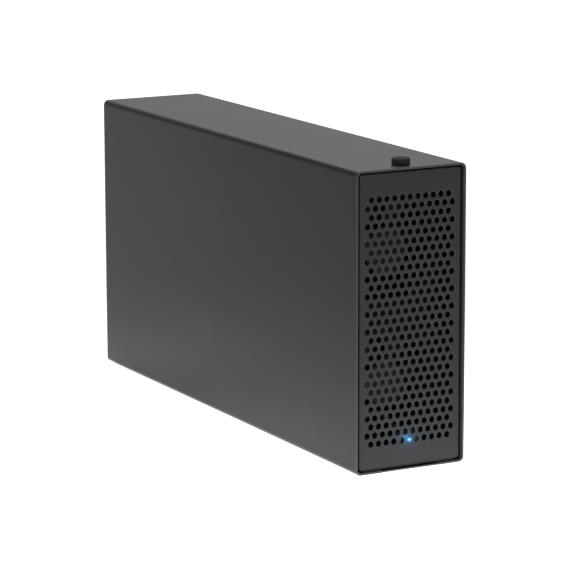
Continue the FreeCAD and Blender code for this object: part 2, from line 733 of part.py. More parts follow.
# Power supply
def inlet_outline(y, depth, grow):
    """Outline of the mains inlet: a rectangle with its two upper corners cut off."""
    half = INLET_WIDTH / 2 + grow
    low = psu_middle - INLET_HEIGHT / 2 - grow
    high = psu_middle + INLET_HEIGHT / 2 + grow
    cut = INLET_CHAMFER
    corners = [(-half, low), (half, low), (half, high - cut), (half - cut, high), (cut - half, high)]
    corners.append((-half, high - cut))
    return prism([V(inlet_x + x, y, z) for x, z in corners], V(0, depth, 0))


def psu_case():
    case = slab(psu_half_width, psu_front, psu_rear, psu_bottom, psu_top)
    pocket_start = psu_rear - PSU_FAN_POCKET
    pocket = polygon_y(psu_fan_x, pocket_start, psu_middle, psu_fan_radius, PSU_FAN_SIDES,
                       PSU_FAN_POCKET)
    shaft_room = bearing(psu_fan_x, pocket_start - SHAFT_LENGTH - SEAT_GAP, psu_middle)
    inlet_room = inlet_outline(psu_rear - INLET_DEPTH, INLET_DEPTH, SEAT_GAP)
    return case.cut([pocket, shaft_room, inlet_room])


def psu_inlet():
    body = inlet_outline(psu_rear - INLET_DEPTH + SEAT_GAP, INLET_DEPTH - SEAT_GAP + SHEET, 0)
    room = inlet_outline(psu_rear - INLET_DEPTH + INLET_FLOOR, INLET_DEPTH - INLET_FLOOR + SHEET, -INLET_WALL)
    return body.cut(room)


def inlet_pins():
    floor_y = psu_rear - INLET_DEPTH + INLET_FLOOR
    pins = []
    for column in (-1, 0, 1):
        x = inlet_x + column * PIN_SPACING / 2
        z = psu_middle - PIN_DROP + (0 if column else 2 * PIN_DROP)
        pins.append(box(x - PIN_WIDTH / 2, x + PIN_WIDTH / 2, floor_y, floor_y + PIN_LENGTH,
                        z - PIN_HEIGHT / 2, z + PIN_HEIGHT / 2))
    return Part.makeCompound(pins)


def psu_fan_rotor():
    length = PSU_FAN_POCKET / 2
    wheel = rotor(PSU_FAN_HUB / 2, PSU_HUB_SIDES, psu_fan_radius, PSU_FAN_SIDES, SEAT_GAP, length,
                  PSU_FAN_BLADES, PSU_BLADE_CHORD)
    wheel.rotate(V(0, 0, 0), Z_AXIS, 180)
    wheel.translate(V(psu_fan_x, psu_rear - PSU_FAN_POCKET + length + 2 * SEAT_GAP, psu_middle))
    return wheel


def psu_fan_guard():
    half = psu_fan_radius + GUARD_OVERLAP
    cut = half - GUARD_CHAMFER
    corners = [(-half, -cut), (-cut, -half), (cut, -half), (half, -cut)]
    corners += [(half, cut), (cut, half), (-cut, half), (-half, cut)]
    plate = prism([V(psu_fan_x + x, rear_outer, psu_middle + z) for x, z in corners],
                  V(0, GUARD_THICKNESS, 0))
    pitch = GUARD_SLOT + GUARD_BAR
    rows = math.floor((half - GUARD_BORDER) / pitch - 0.5)
    slots = []
    for row in range(-rows, rows + 1):
        reach = math.sqrt((half - GUARD_BORDER) ** 2 - (abs(row) * pitch) ** 2)
        z = psu_middle + row * pitch
        slots.append(box(psu_fan_x - reach, psu_fan_x + reach, rear_outer,
                         rear_outer + GUARD_THICKNESS, z - GUARD_SLOT / 2, z + GUARD_SLOT / 2))
    return plate.cut(slots)


# Backplane and what it carries
def backplane_board():
    return slab(board_half_width, board_front, board_rear, board_bottom, board_top)


def board_standoffs():
    spread_x = board_half_width - STANDOFF_FLATS
    run = (BACKPLANE_LENGTH - 4 * STANDOFF_FLATS) / (STANDOFF_ROWS - 1)
    radius = STANDOFF_FLATS / math.sqrt(3)
    posts = []
    for x in (-spread_x, spread_x):
        for row in range(STANDOFF_ROWS):
            y = board_front + 2 * STANDOFF_FLATS + row * run
            corners = []
            for i in range(6):
                angle = math.pi / 3 * i
                corners.append(V(x + radius * math.cos(angle), y + radius * math.sin(angle), shelf_top))
            posts.append(prism(corners, V(0, 0, STANDOFF_HEIGHT)))
    return Part.makeCompound(posts)


def card_slot(x, length):
    half = SLOT_WIDTH / 2
    top = board_top + SLOT_HEIGHT
    body = box(x - half, x + half, slot_rear - length, slot_rear, board_top, top)
    groove_bottom = top - SLOT_GROOVE_DEPTH
    key_rear = slot_rear - SLOT_END_WALL - SLOT_KEY_PLACE
    spans = [(slot_rear - length + SLOT_END_WALL, key_rear - SLOT_KEY), (key_rear, slot_rear - SLOT_END_WALL)]
    grooves = []
    for y0, y1 in spans:
        grooves.append(box(x - SLOT_GROOVE / 2, x + SLOT_GROOVE / 2, y0, y1, groove_bottom, top))
    return body.cut(grooves)


def heatsink():
    """Finned block standing on the XY plane, about the Z axis."""
    half = HEATSINK_SIZE / 2
    base = box(-half, half, -half, half, 0, HEATSINK_BASE)
    pitch = (HEATSINK_SIZE - FIN_THICKNESS) / (HEATSINK_FINS - 1)
    fins = []
    for i in range(HEATSINK_FINS):
        x = -half + i * pitch
        fins.append(box(x, x + FIN_THICKNESS, -half, half, HEATSINK_BASE, HEATSINK_HEIGHT))
    return fused([base] + fins)


def chip():
    half = CHIP_SIZE / 2
    return box(-half, half, -half, half, 0, CHIP_HEIGHT)


def on_backplane(shape, lift):
    shape.translate(V(0, board_rear - CHIP_SETBACK, board_top + lift))
    return shape


def on_interface_card(shape, lift):
    """Stand the shape on the component side of the card, which faces +X."""
    shape.rotate(V(0, 0, 0), Y_AXIS, 90)
    shape.translate(V(card_face + lift, slot_rear - INTERFACE_SLOT / 2, card_bottom + CARD_HEIGHT / 2))
    return shape


def interface_card():
    half = BOARD_THICKNESS / 2
    top = card_bottom + CARD_HEIGHT
    above_slot = board_top + SLOT_HEIGHT + SEAT_GAP
    edge_rear = slot_rear - SLOT_END_WALL - SEAT_GAP
    edge_front = slot_rear - INTERFACE_SLOT + SLOT_END_WALL + SEAT_GAP
    key_rear = slot_rear - SLOT_END_WALL - SLOT_KEY_PLACE + SEAT_GAP
    key_front = key_rear - SLOT_KEY - 2 * SEAT_GAP
    rear = bracket_inner - SEAT_GAP
    front = rear - CARD_LENGTH
    outline = [(front, above_slot), (edge_front, above_slot), (edge_front, card_bottom)]
    outline += [(key_front, card_bottom), (key_front, above_slot), (key_rear, above_slot)]
    outline += [(key_rear, card_bottom), (edge_rear, card_bottom), (edge_rear, above_slot)]
    outline += [(rear, above_slot), (rear, top), (front, top)]
    return prism([V(card_plane - half, y, z) for y, z in outline], V(BOARD_THICKNESS, 0, 0))


def bracket_plate(x):
    """Flat bracket with a tapered tongue below and a tab with an open screw notch above."""
    half = (slot_pitch - BRACKET_SPACING) / 2
    tongue = BRACKET_TONGUE_WIDTH / 2
    tip = step_top + SEAT_GAP
    outline = [(-tongue, tip), (tongue, tip), (tongue, shelf_top), (half, shelf_top + BRACKET_TAPER)]
    tab_bottom = tab_level + SEAT_GAP / 2
    tab_top = tab_bottom + BRACKET_THICKNESS
    outline += [(half, tab_top), (-half, tab_top), (-half, shelf_top + BRACKET_TAPER), (-tongue, shelf_top)]
    plate = prism([V(x + dx, bracket_inner, z) for dx, z in outline], V(0, BRACKET_THICKNESS, 0))
    tab = box(x - half, x + half, bracket_inner, bracket_inner + BRACKET_TAB, tab_bottom, tab_top)
    notch_y = bracket_inner + BRACKET_TAB / 2
    notch = box(x + half - 2 * BRACKET_NOTCH, x + half - BRACKET_NOTCH, notch_y, bracket_inner + BRACKET_TAB,
                tab_bottom, tab_top)
    return fused([plate, tab]).cut(notch)


def port_places():
    x = card_face + PORT_HEIGHT / 2
    middle = card_bottom + PORT_LIFT
    return [(x, middle - PORT_SPACING / 2), (x, middle + PORT_SPACING / 2)]


def port_outline(x, z, y, depth, grow):
    """Upright slot with round ends in flats, the outline of a reversible socket."""
    radius = PORT_HEIGHT / 2 + grow
    straight = PORT_WIDTH / 2 - PORT_HEIGHT / 2
    corners = []
    for end, start_angle in ((1, 0.0), (-1, math.pi)):
        for i in range(PORT_END_SIDES + 1):
            angle = start_angle + math.pi * i / PORT_END_SIDES
            corners.append(V(x + radius * math.cos(angle), y, z + end * straight + radius * math.sin(angle)))
    return prism(corners, V(0, depth, 0))


def host_port(x, z):
    rear = bracket_outer
    front = rear - PORT_LENGTH
    shell = port_outline(x, z, front, PORT_LENGTH, 0)
    room = port_outline(x, z, front + PORT_FLOOR, PORT_LENGTH - PORT_FLOOR, -PORT_WALL)
    blade = box(x - PORT_WALL, x + PORT_WALL, front, rear - PORT_BLADE_INSET,
                z - PORT_BLADE_WIDTH / 2, z + PORT_BLADE_WIDTH / 2)
    return fused([shell.cut(room), blade])


def interface_bracket():
    plate = bracket_plate(slot_centres[-1])
    cuts = []
    for x, z in port_places():
        cuts.append(port_outline(x, z, bracket_inner, BRACKET_THICKNESS, PORT_CLEARANCE))
    return plate.cut(cuts)


# Power and fan connectors on the front edge of the backplane, and their leads
header_x = led_header_x + (FAN_HEADER_SIZE + HEADER_WIDTH) / 2 + HEADER_GAP
header_bottom = board_top
header_top = header_bottom + HEADER_HEIGHT


def power_header():
    half = HEADER_WIDTH / 2
    body = box(header_x - half, header_x + half, board_front, board_front + HEADER_DEPTH,
               header_bottom, header_top)
    inner = half - HEADER_WALL
    room = box(header_x - inner, header_x + inner, board_front, board_front + HEADER_POCKET,
               header_bottom + HEADER_WALL, header_top - HEADER_WALL)
    return body.cut(room)


def power_plug():
    inner = HEADER_WIDTH / 2 - HEADER_WALL - PLUG_CLEARANCE
    inset = HEADER_WALL + PLUG_CLEARANCE
    plug_end = board_front + HEADER_POCKET - SEAT_GAP
    return box(header_x - inner, header_x + inner, board_front - PLUG_BODY, plug_end,
               header_bottom + inset, header_top - inset)


def power_harness():
    start_y = board_front - PLUG_BODY
    high = (header_bottom + header_top) / 2
    low = psu_bottom + HARNESS_LIFT
    turn_y = start_y - HARNESS_STRAIGHT - (high - low) / 2
    points = [V(header_x, start_y, high), V(header_x, turn_y, high), V(header_x, turn_y, low)]
    points.append(V(header_x, psu_front, low))
    radius = (high - low - HARNESS_DIAMETER / 2) / 2
    return lead(points, HARNESS_DIAMETER, HARNESS_DIAMETER, radius)


def fan_header_places():
    half = FAN_HEADER_SPACING / 2
    return {"upper": FAN_HEADER_PLACE + half, "lower": FAN_HEADER_PLACE - half}


def fan_headers():
    half = FAN_HEADER_SIZE / 2
    blocks = []
    for x in [led_header_x] + list(fan_header_places().values()):
        blocks.append(box(x - half, x + half, board_front, board_front + FAN_HEADER_SIZE, board_top,
                          board_top + FAN_HEADER_SIZE))
    return Part.makeCompound(blocks)


def fan_lead(name):
    """Down behind the fan to the floor, along it, and up to the backplane's front edge."""
    x = fan_header_places()[name]
    start_z = fan_heights[name] - fan_half + FAN_CORNER_CUT
    drop_y = fan_front + FAN_DEPTH + LEAD_DIAMETER / 2 + SEAT_GAP
    low = floor_top + LEAD_DIAMETER
    rise_y = min(shelf_front, board_front) - LEAD_SLACK
    header_z = board_top + FAN_HEADER_SIZE / 2
    points = [V(x, drop_y, start_z), V(x, drop_y, low), V(x, rise_y, low), V(x, rise_y, header_z)]
    points.append(V(x, board_front, header_z))
    return lead(points, LEAD_DIAMETER, LEAD_DIAMETER, LEAD_BEND)


def save(name, shape):
    for solid in shape.Solids:
        if not solid.isValid():
            raise ValueError(name + " is not valid")
    shape.exportStep(os.path.join("parts", name + ".step"))


def build():
    os.makedirs("parts", exist_ok=True)
    save("outer_sleeve", outer_sleeve())
    for end_name, end in (("front", -1), ("rear", 1)):
        for side_name, side in (("left", -1), ("right", 1)):
            save("foot_" + end_name + "_" + side_name, foot(side, end))
    save("thumbscrew", thumbscrew())
    save("retaining_ring", retaining_ring())
    save("lock_nut", lock_nut())
    save("front_grille", front_grille())
    save("base_pan", base_pan())
    save("side_wall_left", side_wall(-1))
    save("side_wall_right", side_wall(1))
    save("pan_rear_wall", pan_rear_wall())
    save("fan_bracket", fan_bracket())
    save("rear_panel", rear_panel())
    save("backplane_shelf", backplane_shelf())
    for name, z in fan_heights.items():
        save("fan_frame_" + name, fan_frame(z))
        save("fan_rotor_" + name, fan_rotor(z))
        save("fan_lead_" + name, fan_lead(name))
    save("light_pipe", light_pipe())
    save("led_holder", led_holder())
    save("led_board", led_board())
    save("led_lead", led_lead())
    save("psu_case", psu_case())
    save("psu_inlet", psu_inlet())
    save("inlet_pins", inlet_pins())
    save("psu_fan_rotor", psu_fan_rotor())
    save("psu_fan_guard", psu_fan_guard())
    save("backplane_board", backplane_board())
    save("board_standoffs", board_standoffs())
    lengths = (LONG_SLOT, SHORT_SLOT, SHORT_SLOT)
    for number, length in enumerate(lengths):
        save("card_slot_%d" % (number + 1), card_slot(slot_centres[number] - CARD_OFFSET, length))
        save("slot_cover_%d" % (number + 1), bracket_plate(slot_centres[number]))
    save("interface_slot", card_slot(card_plane, INTERFACE_SLOT))
    save("interface_card", interface_card())
    save("interface_bracket", interface_bracket())
    save("interface_chip", on_interface_card(chip(), 0))
    save("interface_heatsink", on_interface_card(heatsink(), CHIP_HEIGHT))
    for number, (x, z) in enumerate(port_places()):
        save("host_port_%d" % (number + 1), host_port(x, z))
    save("bridge_chip", on_backplane(chip(), 0))
    save("bridge_heatsink", on_backplane(heatsink(), CHIP_HEIGHT))
    save("power_header", power_header())
    save("power_plug", power_plug())
    save("power_harness", power_harness())
    save("fan_headers", fan_headers())


build()
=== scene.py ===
import math

import bmesh
import bpy
from bpy.props import FloatProperty, FloatVectorProperty, IntProperty, PointerProperty
from mathutils import Matrix, Vector


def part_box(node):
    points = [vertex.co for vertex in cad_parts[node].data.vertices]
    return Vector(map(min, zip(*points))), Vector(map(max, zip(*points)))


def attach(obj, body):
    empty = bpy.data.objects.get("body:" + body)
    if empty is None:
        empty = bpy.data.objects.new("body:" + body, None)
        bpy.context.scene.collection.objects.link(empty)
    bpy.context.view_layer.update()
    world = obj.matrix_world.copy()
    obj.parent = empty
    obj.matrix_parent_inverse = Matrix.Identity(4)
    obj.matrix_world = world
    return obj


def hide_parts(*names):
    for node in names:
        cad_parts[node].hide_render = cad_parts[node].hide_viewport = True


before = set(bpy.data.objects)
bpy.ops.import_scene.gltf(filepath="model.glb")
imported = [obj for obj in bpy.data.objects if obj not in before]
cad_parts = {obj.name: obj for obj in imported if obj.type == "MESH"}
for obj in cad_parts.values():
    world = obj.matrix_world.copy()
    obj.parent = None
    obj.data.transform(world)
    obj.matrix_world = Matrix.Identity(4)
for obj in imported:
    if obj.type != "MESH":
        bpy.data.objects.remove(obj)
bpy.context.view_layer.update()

bl_info = {
    "name": "Card chassis looks",
    "version": (1, 0, 0),
    "blender": (4, 5, 0),
    "location": "3D View > Sidebar > Chassis",
    "description": "Finishes, fine pieces and studio of a desktop chassis for expansion cards",
    "category": "Object",
}

MM = 0.001


# Sizes and colours that a user would change
def length(name, description, millimetres):
    """Length property with its default in millimetres."""
    return FloatProperty(name=name, description=description, default=millimetres * MM, min=0.0, unit="LENGTH",
                         precision=5)


def colour(name, description, red, green, blue):
    """Colour property with a linear default."""
    return FloatVectorProperty(name=name, description=description, default=(red, green, blue), size=3,
                               min=0.0, max=1.0, subtype="COLOR")


class ChassisSizes(bpy.types.PropertyGroup):
    """Sizes of the pieces that are remade in finer form."""

    wall: length("Sleeve wall", "Thickness of the sleeve's sheet", 1.6)
    edge_radius: length("Sleeve edge radius", "Outer radius of the sleeve's four long bends", 4.2)
    edge_break: length("Edge break", "Bevel on the cut edges of the sheet", 0.3)
    tongue_clearance: length("Tongue clearance", "Gap on each side of the tongue in its notch", 0.7)
    tongue_width: length("Tongue width", "Width of the tray's tongue under the front edge", 44.5)
    tongue_length: length("Tongue length", "Depth of the tray's tongue under the front edge", 20.0)
    screw_hole: length("Screw hole", "Diameter of the thumbscrew's hole in the sleeve", 4.6)
    sheet: length("Sheet", "Thickness of the front panel", 1.2)
    hole_diameter: length("Hole diameter", "Diameter of the punched holes", 4.8)
    hole_pitch: length("Hole pitch", "Distance of the holes along a row, and of the rows", 6.35)
    hole_rows: IntProperty(name="Hole rows", description="Rows of punched holes", default=29, min=1)
    hole_columns: IntProperty(name="Hole columns", description="Holes in the longer rows", default=12, min=1)
    panel_corner: length("Panel corner radius", "Radius of the front panel's corners", 2.4)
    panel_bevel: length("Panel edge radius", "Rounding of the front panel's outer edge", 0.8)
    knurls: IntProperty(name="Knurls", description="Ridges round the thumbscrew's head", default=52, min=8)
    knurl_depth: length("Knurl depth", "Depth of the grooves between the ridges", 0.28)
    screw_head: length("Screw head", "Diameter of the small screws' heads", 5.4)
    fan_mount: length("Fan mount", "Distance of a fan's screws from its middle, across and up", 35.75)
    fan_corner: length("Fan corner radius", "Radius of the fan frames' corners", 3.0)
    fan_bore: length("Fan bore", "Diameter of the fan frames' bore", 76.0)
    fan_hub: length("Fan hub", "Diameter of the fans' hubs", 36.0)
    fan_base: length("Fan base", "Depth of the plate and struts behind a fan's hub", 5.0)
    supply_hub: length("Supply fan hub", "Diameter of the hub of the power supply's fan", 22.0)
    contact_pitch: length("Contact pitch", "Distance of the contacts along a card slot", 1.0)
    lead: length("Lead", "Diameter of the thin leads", 1.8)
    harness: length("Harness", "Diameter of the sleeved power leads", 8.0)


class ChassisColours(bpy.types.PropertyGroup):
    """Colours of the finishes."""

    sleeve: colour("Sleeve coat", "Dark satin coat of the sleeve", 0.0115, 0.0115, 0.012)
    panel: colour("Panel coat", "Dark satin coat of the front panel", 0.015, 0.015, 0.0155)
    screw: colour("Thumbscrew", "Black finish of the thumbscrew", 0.05, 0.05, 0.052)
    light: colour("Light", "Colour of the lit lens", 0.02, 0.36, 1.0)
    rubber: colour("Rubber", "Feet", 0.02, 0.02, 0.021)
    zinc: colour("Zinc", "Plated sheet of the sled", 0.42, 0.43, 0.45)
    nickel: colour("Nickel", "Card brackets and sockets", 0.33, 0.33, 0.325)
    fan: colour("Fan plastic", "Moulded frames and blades", 0.005, 0.005, 0.0054)
    label: colour("Fan label", "Round label on the hubs of the fans", 0.012, 0.013, 0.0155)
    board: colour("Solder mask", "Coat of the circuit boards", 0.01, 0.075, 0.035)
    plastic: colour("Black plastic", "Sockets and holders", 0.014, 0.014, 0.015)
    ivory: colour("Ivory plastic", "Plugs and small headers", 0.72, 0.69, 0.6)
    gold: colour("Gold", "Contacts and pads", 0.9, 0.62, 0.22)
    aluminium: colour("Aluminium", "Heatsinks and the power supply's case", 0.58, 0.59, 0.6)
    red: colour("Red lead", "Insulation of the light's positive lead", 0.14, 0.005, 0.006)
    black: colour("Black lead", "Insulation of the other leads", 0.016, 0.016, 0.017)


# Node trees
class Value:
    """A socket of a node tree. Arithmetic on it adds Math nodes to the tree."""

    def __init__(self, nodes, socket):
        self.nodes = nodes
        self.socket = socket

    def math(self, operation, first, second=0.0):
        return self.nodes.add("ShaderNodeMath", {"operation": operation}, {0: first, 1: second})

    def __abs__(self):
        return self.math("ABSOLUTE", self)

    def __add__(self, other):
        return self.math("ADD", self, other)

    def __sub__(self, other):
        return self.math("SUBTRACT", self, other)

    def __rsub__(self, other):
        return self.math("SUBTRACT", other, self)

    def __mul__(self, other):
        return self.math("MULTIPLY", self, other)

    def __truediv__(self, other):
        return self.math("DIVIDE", self, other)

    def __gt__(self, other):
        return self.math("GREATER_THAN", self, other)

    def __lt__(self, other):
        return self.math("LESS_THAN", self, other)

    __radd__ = __add__
    __rmul__ = __mul__


class Nodes:
    """Adds nodes to a shader or geometry tree by type, settings and socket values."""

    def __init__(self, tree):
        self.tree = tree

    def add(self, kind, settings=None, inputs=None, output=0):
        node = self.tree.nodes.new(kind)
        for name, setting in (settings or {}).items():
            setattr(node, name, setting)
        for key, value in (inputs or {}).items():
            self.feed(node.inputs[key], value)
        return Value(self, node.outputs[output]) if node.outputs else None

    def feed(self, socket, value):
        for one in value if isinstance(value, list) else [value]:
            if isinstance(one, Value):
                self.tree.links.new(one.socket, socket)
            else:
                socket.default_value = one


def rgba(tone):
    if isinstance(tone, (int, float)):
        return (tone, tone, tone, 1.0)
    return (tone[0], tone[1], tone[2], 1.0)


# Finishes
# Size and depth of the grain of coats and mouldings, and size of the broad drift over them
COAT_GRAIN = 0.22 * MM
COAT_DEPTH = 0.012 * MM
COAT_DRIFT = 60 * MM
MOULD_GRAIN = 0.3 * MM
MOULD_DEPTH = 0.015 * MM
MOULD_DRIFT = 18 * MM
# Margin that takes in a face, the width of the sheet's cut edge with its painted highlight, and how deep the
# walls inside the front get painted light
NEAR = 0.05 * MM
CUT_EDGE = 0.35 * MM
FRONT_INSIDE = 4 * MM
# Border of the panel round its field of holes
FIELD_SIDE = 3 * MM
FIELD_END = 12 * MM
# Radius of the white core in the lit lens, where its glow ends, and the core's colour
HOT_CORE = 0.2 * MM
HOT_EDGE = 1.35 * MM
HOT_COLOUR = (0.3, 0.86, 1.0)


def place_of(nodes):
    return nodes.add("ShaderNodeTexCoord", output="Object")


def axis_of(nodes, place, axis):
    return nodes.add("ShaderNodeSeparateXYZ", inputs={0: place}, output=axis)


def away_from(nodes, place, point):
    return nodes.add("ShaderNodeVectorMath", {"operation": "DISTANCE"}, {0: place, 1: point}, "Value")


def noise(nodes, place, size, detail=2.0):
    """Noise from 0 to 1 whose features are about that size in metres."""
    return nodes.add("ShaderNodeTexNoise", inputs={"Vector": place, "Scale": 1.0 / size, "Detail": detail})


def patches(nodes, place, size, distance="EUCLIDEAN", randomness=1.0):
    """Cells of about that size in metres, with a number from 0 to 1 for each."""
    cells = nodes.add("ShaderNodeTexVoronoi", {"distance": distance},
                      {"Vector": place, "Scale": 1.0 / size, "Randomness": randomness}, "Color")
    return nodes.add("ShaderNodeSeparateColor", inputs={"Color": cells})


def shade(tone, factor):
    return tuple(min(1.0, channel * factor) for channel in tone)


def mixed(nodes, factor, first, second):
    """Colour between two colours or colour values."""
    first = first if isinstance(first, Value) else rgba(first)
    second = second if isinstance(second, Value) else rgba(second)
    return nodes.add("ShaderNodeMix", {"data_type": "RGBA"}, {0: factor, 6: first, 7: second}, 2)


def varied(nodes, factor, tone, dark, pale):
    """Colour from a dark to a pale shade of the tone."""
    return mixed(nodes, factor, shade(tone, dark), shade(tone, pale))


def bump(nodes, height, depth, strength=1.0):
    return nodes.add("ShaderNodeBump", inputs={"Height": height, "Distance": depth, "Strength": strength})


def surface(nodes, **inputs):
    """Principled surface from sockets named in words, such as base_color."""
    named = {key.replace("_", " ").title().replace("Ior", "IOR"): value for key, value in inputs.items()}
    for key in ("Base Color", "Emission Color"):
        if key in named and not isinstance(named[key], Value):
            named[key] = rgba(named[key])
    return nodes.add("ShaderNodeBsdfPrincipled", inputs=named)


def material(name, make_surface):
    """Material with the surface that the function adds to its tree; made once."""
    name = name + "_finish"
    made = bpy.data.materials.get(name)
    if made is None:
        made = bpy.data.materials.new(name)
        made.use_nodes = True
        made.node_tree.nodes.clear()
        nodes = Nodes(made.node_tree)
        nodes.add("ShaderNodeOutputMaterial", inputs={"Surface": make_surface(nodes)})
    return made


def finish(add_surface):
    """Make a function that takes a finish's own values, and gives one that adds its surface to a tree."""
    def with_values(*values):
        return lambda nodes: add_surface(nodes, place_of(nodes), *values)
    return with_values


def satin(nodes, place, tone, grain=COAT_GRAIN):
    """Fine grain of a satin coat, its colour, and how its roughness varies."""
    fine = noise(nodes, place, grain, 3.0)
    broad = noise(nodes, place, COAT_DRIFT)
    return fine, varied(nodes, fine, tone, 0.82, 1.18), 0.06 * (broad - 0.5) + 0.05 * (fine - 0.5)


@finish
def coated(nodes, place, tone, roughness, metallic=0.0, gloss=0.5, grain=COAT_GRAIN, depth=COAT_DEPTH):
    """Dark satin coat: fine grain, and a broad faint drift of gloss."""
    fine, coat, drift = satin(nodes, place, tone, grain)
    return surface(nodes, base_color=coat, metallic=metallic, specular_ior_level=gloss,
                   roughness=roughness + drift, normal=bump(nodes, fine, depth))


@finish
def sleeve_coat_and_painted_light(nodes, place, tone):
    """Satin coat, with the cut edges painted paler as a painted highlight and the walls just inside the front
    painted paler as painted light.
    """
    low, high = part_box("outer_sleeve")
    wall = sized().wall - NEAR
    depth = axis_of(nodes, place, "Y")
    height = axis_of(nodes, place, "Z")
    # Painted highlight: the front and rear cut edges are painted paler than the coat
    painted_highlight_edge = (depth < low.y + CUT_EDGE) + (depth > high.y - CUT_EDGE)
    across = abs(axis_of(nodes, place, "X")) < high.x - wall
    between = across * (height > low.z + wall) * (height < high.z - wall)
    # Painted light: the walls just inside the front take a paler plain coat, standing for the light that
    # reaches in
    inside = between * (depth < low.y + FRONT_INSIDE)
    fine, coat, drift = satin(nodes, place, tone)
    outer = surface(nodes, base_color=mixed(nodes, painted_highlight_edge, coat, shade(tone, 6.6)), metallic=0.9,
                    roughness=0.35 + drift, normal=bump(nodes, fine, COAT_DEPTH))
    inner = coated(shade(tone, 6.0), 0.5)(nodes)
    return nodes.add("ShaderNodeMixShader", inputs={0: inside, 1: outer, 2: inner})


@finish
def punched_coat_and_painted_light(nodes, place, tone):
    """Satin coat of the front panel, painted paler on the walls of its holes as painted light, and a little
    glossier there.
    """
    low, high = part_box("front_grille")
    height = axis_of(nodes, place, "Z")
    across = abs(axis_of(nodes, place, "X")) < high.x - FIELD_SIDE
    field = across * (height > low.z + FIELD_END) * (height < high.z - FIELD_END)
    # Painted light: behind the front face, in the field of holes, the coat is painted paler for the light
    # that the hole walls catch
    wall = field * (axis_of(nodes, place, "Y") > low.y + 2 * NEAR)
    fine, coat, drift = satin(nodes, place, tone)
    return surface(nodes, base_color=mixed(nodes, wall, coat, shade(tone, 9.0)), specular_ior_level=0.4,
                   roughness=0.46 + drift - 0.08 * wall, normal=bump(nodes, fine, COAT_DEPTH))


@finish
def plated(nodes, place, tone, roughness=0.36):
    """Zinc or nickel plate with rolling lines and soft spangle."""
    stretched = nodes.add("ShaderNodeMapping", inputs={"Vector": place, "Scale": (1.0, 0.06, 1.0)})
    rolled = noise(nodes, stretched, 0.35 * MM, 4.0)
    tint = 0.35 * patches(nodes, place, 3.5 * MM) + 0.65 * rolled
    return surface(nodes, base_color=varied(nodes, tint, tone, 0.9, 1.08), metallic=1.0,
                   roughness=roughness + 0.08 * (tint - 0.5), normal=bump(nodes, rolled, 0.002 * MM))


@finish
def moulded(nodes, place, tone, roughness=0.5):
    """Moulded plastic with a fine spark-eroded grain."""
    fine = noise(nodes, place, MOULD_GRAIN)
    broad = noise(nodes, place, MOULD_DRIFT)
    return surface(nodes, base_color=varied(nodes, broad, tone, 0.85, 1.2),
                   roughness=roughness + 0.12 * (fine - 0.5), normal=bump(nodes, fine, MOULD_DEPTH))


@finish
def labelled(nodes, place, tone, label, middle, radius):
    """Moulded plastic with a round paper label on the face at the middle."""
    flat = nodes.add("ShaderNodeVectorMath", {"operation": "MULTIPLY"}, {0: place, 1: (1.0, 0.0, 1.0)})
    away = away_from(nodes, flat, (middle.x, 0.0, middle.z))
    paper = (away < radius) * (axis_of(nodes, place, "Y") < middle.y + 0.5 * MM)
    fine = noise(nodes, place, MOULD_GRAIN)
    plastic = varied(nodes, noise(nodes, place, MOULD_DRIFT), tone, 0.85, 1.2)
    border = (away > 0.86 * radius) * (away < 0.92 * radius)
    printed = mixed(nodes, border, label, shade(label, 1.7))
    return surface(nodes, base_color=mixed(nodes, paper, plastic, printed),
                   roughness=0.45 + 0.12 * (fine - 0.5) + 0.15 * paper, normal=bump(nodes, fine, MOULD_DEPTH))


@finish
def lit_lens(nodes, place, tone):
    """Clear lens with a light behind it, whitest at its middle."""
    middle = middle_of("light_pipe")
    away = away_from(nodes, place, (middle.x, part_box("light_pipe")[0].y, middle.z))
    hot = nodes.add("ShaderNodeMapRange", {"clamp": True},
                    {"Value": away, "From Min": HOT_EDGE, "From Max": HOT_CORE})
    return surface(nodes, base_color=shade(tone, 0.15), roughness=0.12, emission_strength=1.25,
                   emission_color=mixed(nodes, hot, shade(tone, 0.07), HOT_COLOUR))


@finish
def tray_finish(nodes, place, zinc, coat):
    """Plated sheet, coated dark where it shows outside: at the front, on the tongue and on the rear wall."""
    depth = axis_of(nodes, place, "Y")
    tongue = axis_of(nodes, place, "Z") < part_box("outer_sleeve")[0].z + sized().wall + NEAR
    at_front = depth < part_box("led_board")[1].y + FRONT_INSIDE
    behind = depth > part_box("pan_rear_wall")[0].y
    outside = tongue.math("MAXIMUM", tongue, at_front + behind)
    # The dark parts take the sleeve's material, so where they reach its masks they get its painted highlight
    # on cut edges and painted light just inside the front
    return nodes.add("ShaderNodeMixShader",
                     inputs={0: outside, 1: plated(zinc)(nodes), 2: sleeve_coat_and_painted_light(coat)(nodes)})


@finish
def circuit(nodes, place, tone, gold):
    """Solder mask over traces, with small plated holes in a loose grid."""
    zone = patches(nodes, place, 9 * MM, "MANHATTAN", 0.8)
    along, across, upright = [
        nodes.add("ShaderNodeTexWave", {"bands_direction": axis},
                  {"Vector": place, "Scale": 0.314 / (pitch * MM), "Distortion": 0.0}, 1) > 0.72
        for axis, pitch in (("X", 1.1), ("Y", 1.3), ("Z", 1.2))]
    traces = along * (zone < 0.35) + across * (zone > 0.62) * (zone < 0.8) + upright * (zone > 0.8)
    spots = nodes.add("ShaderNodeTexVoronoi", output="Distance",
                      inputs={"Vector": place, "Scale": 1 / (5 * MM), "Randomness": 0.7})
    plated_hole = spots < 0.09
    mask = mixed(nodes, traces, tone, shade(tone, 1.9))
    return surface(nodes, base_color=mixed(nodes, plated_hole, mask, gold), metallic=plated_hole * 0.9,
                   roughness=0.34 - 0.08 * plated_hole, normal=bump(nodes, traces, 0.03 * MM, 0.6))


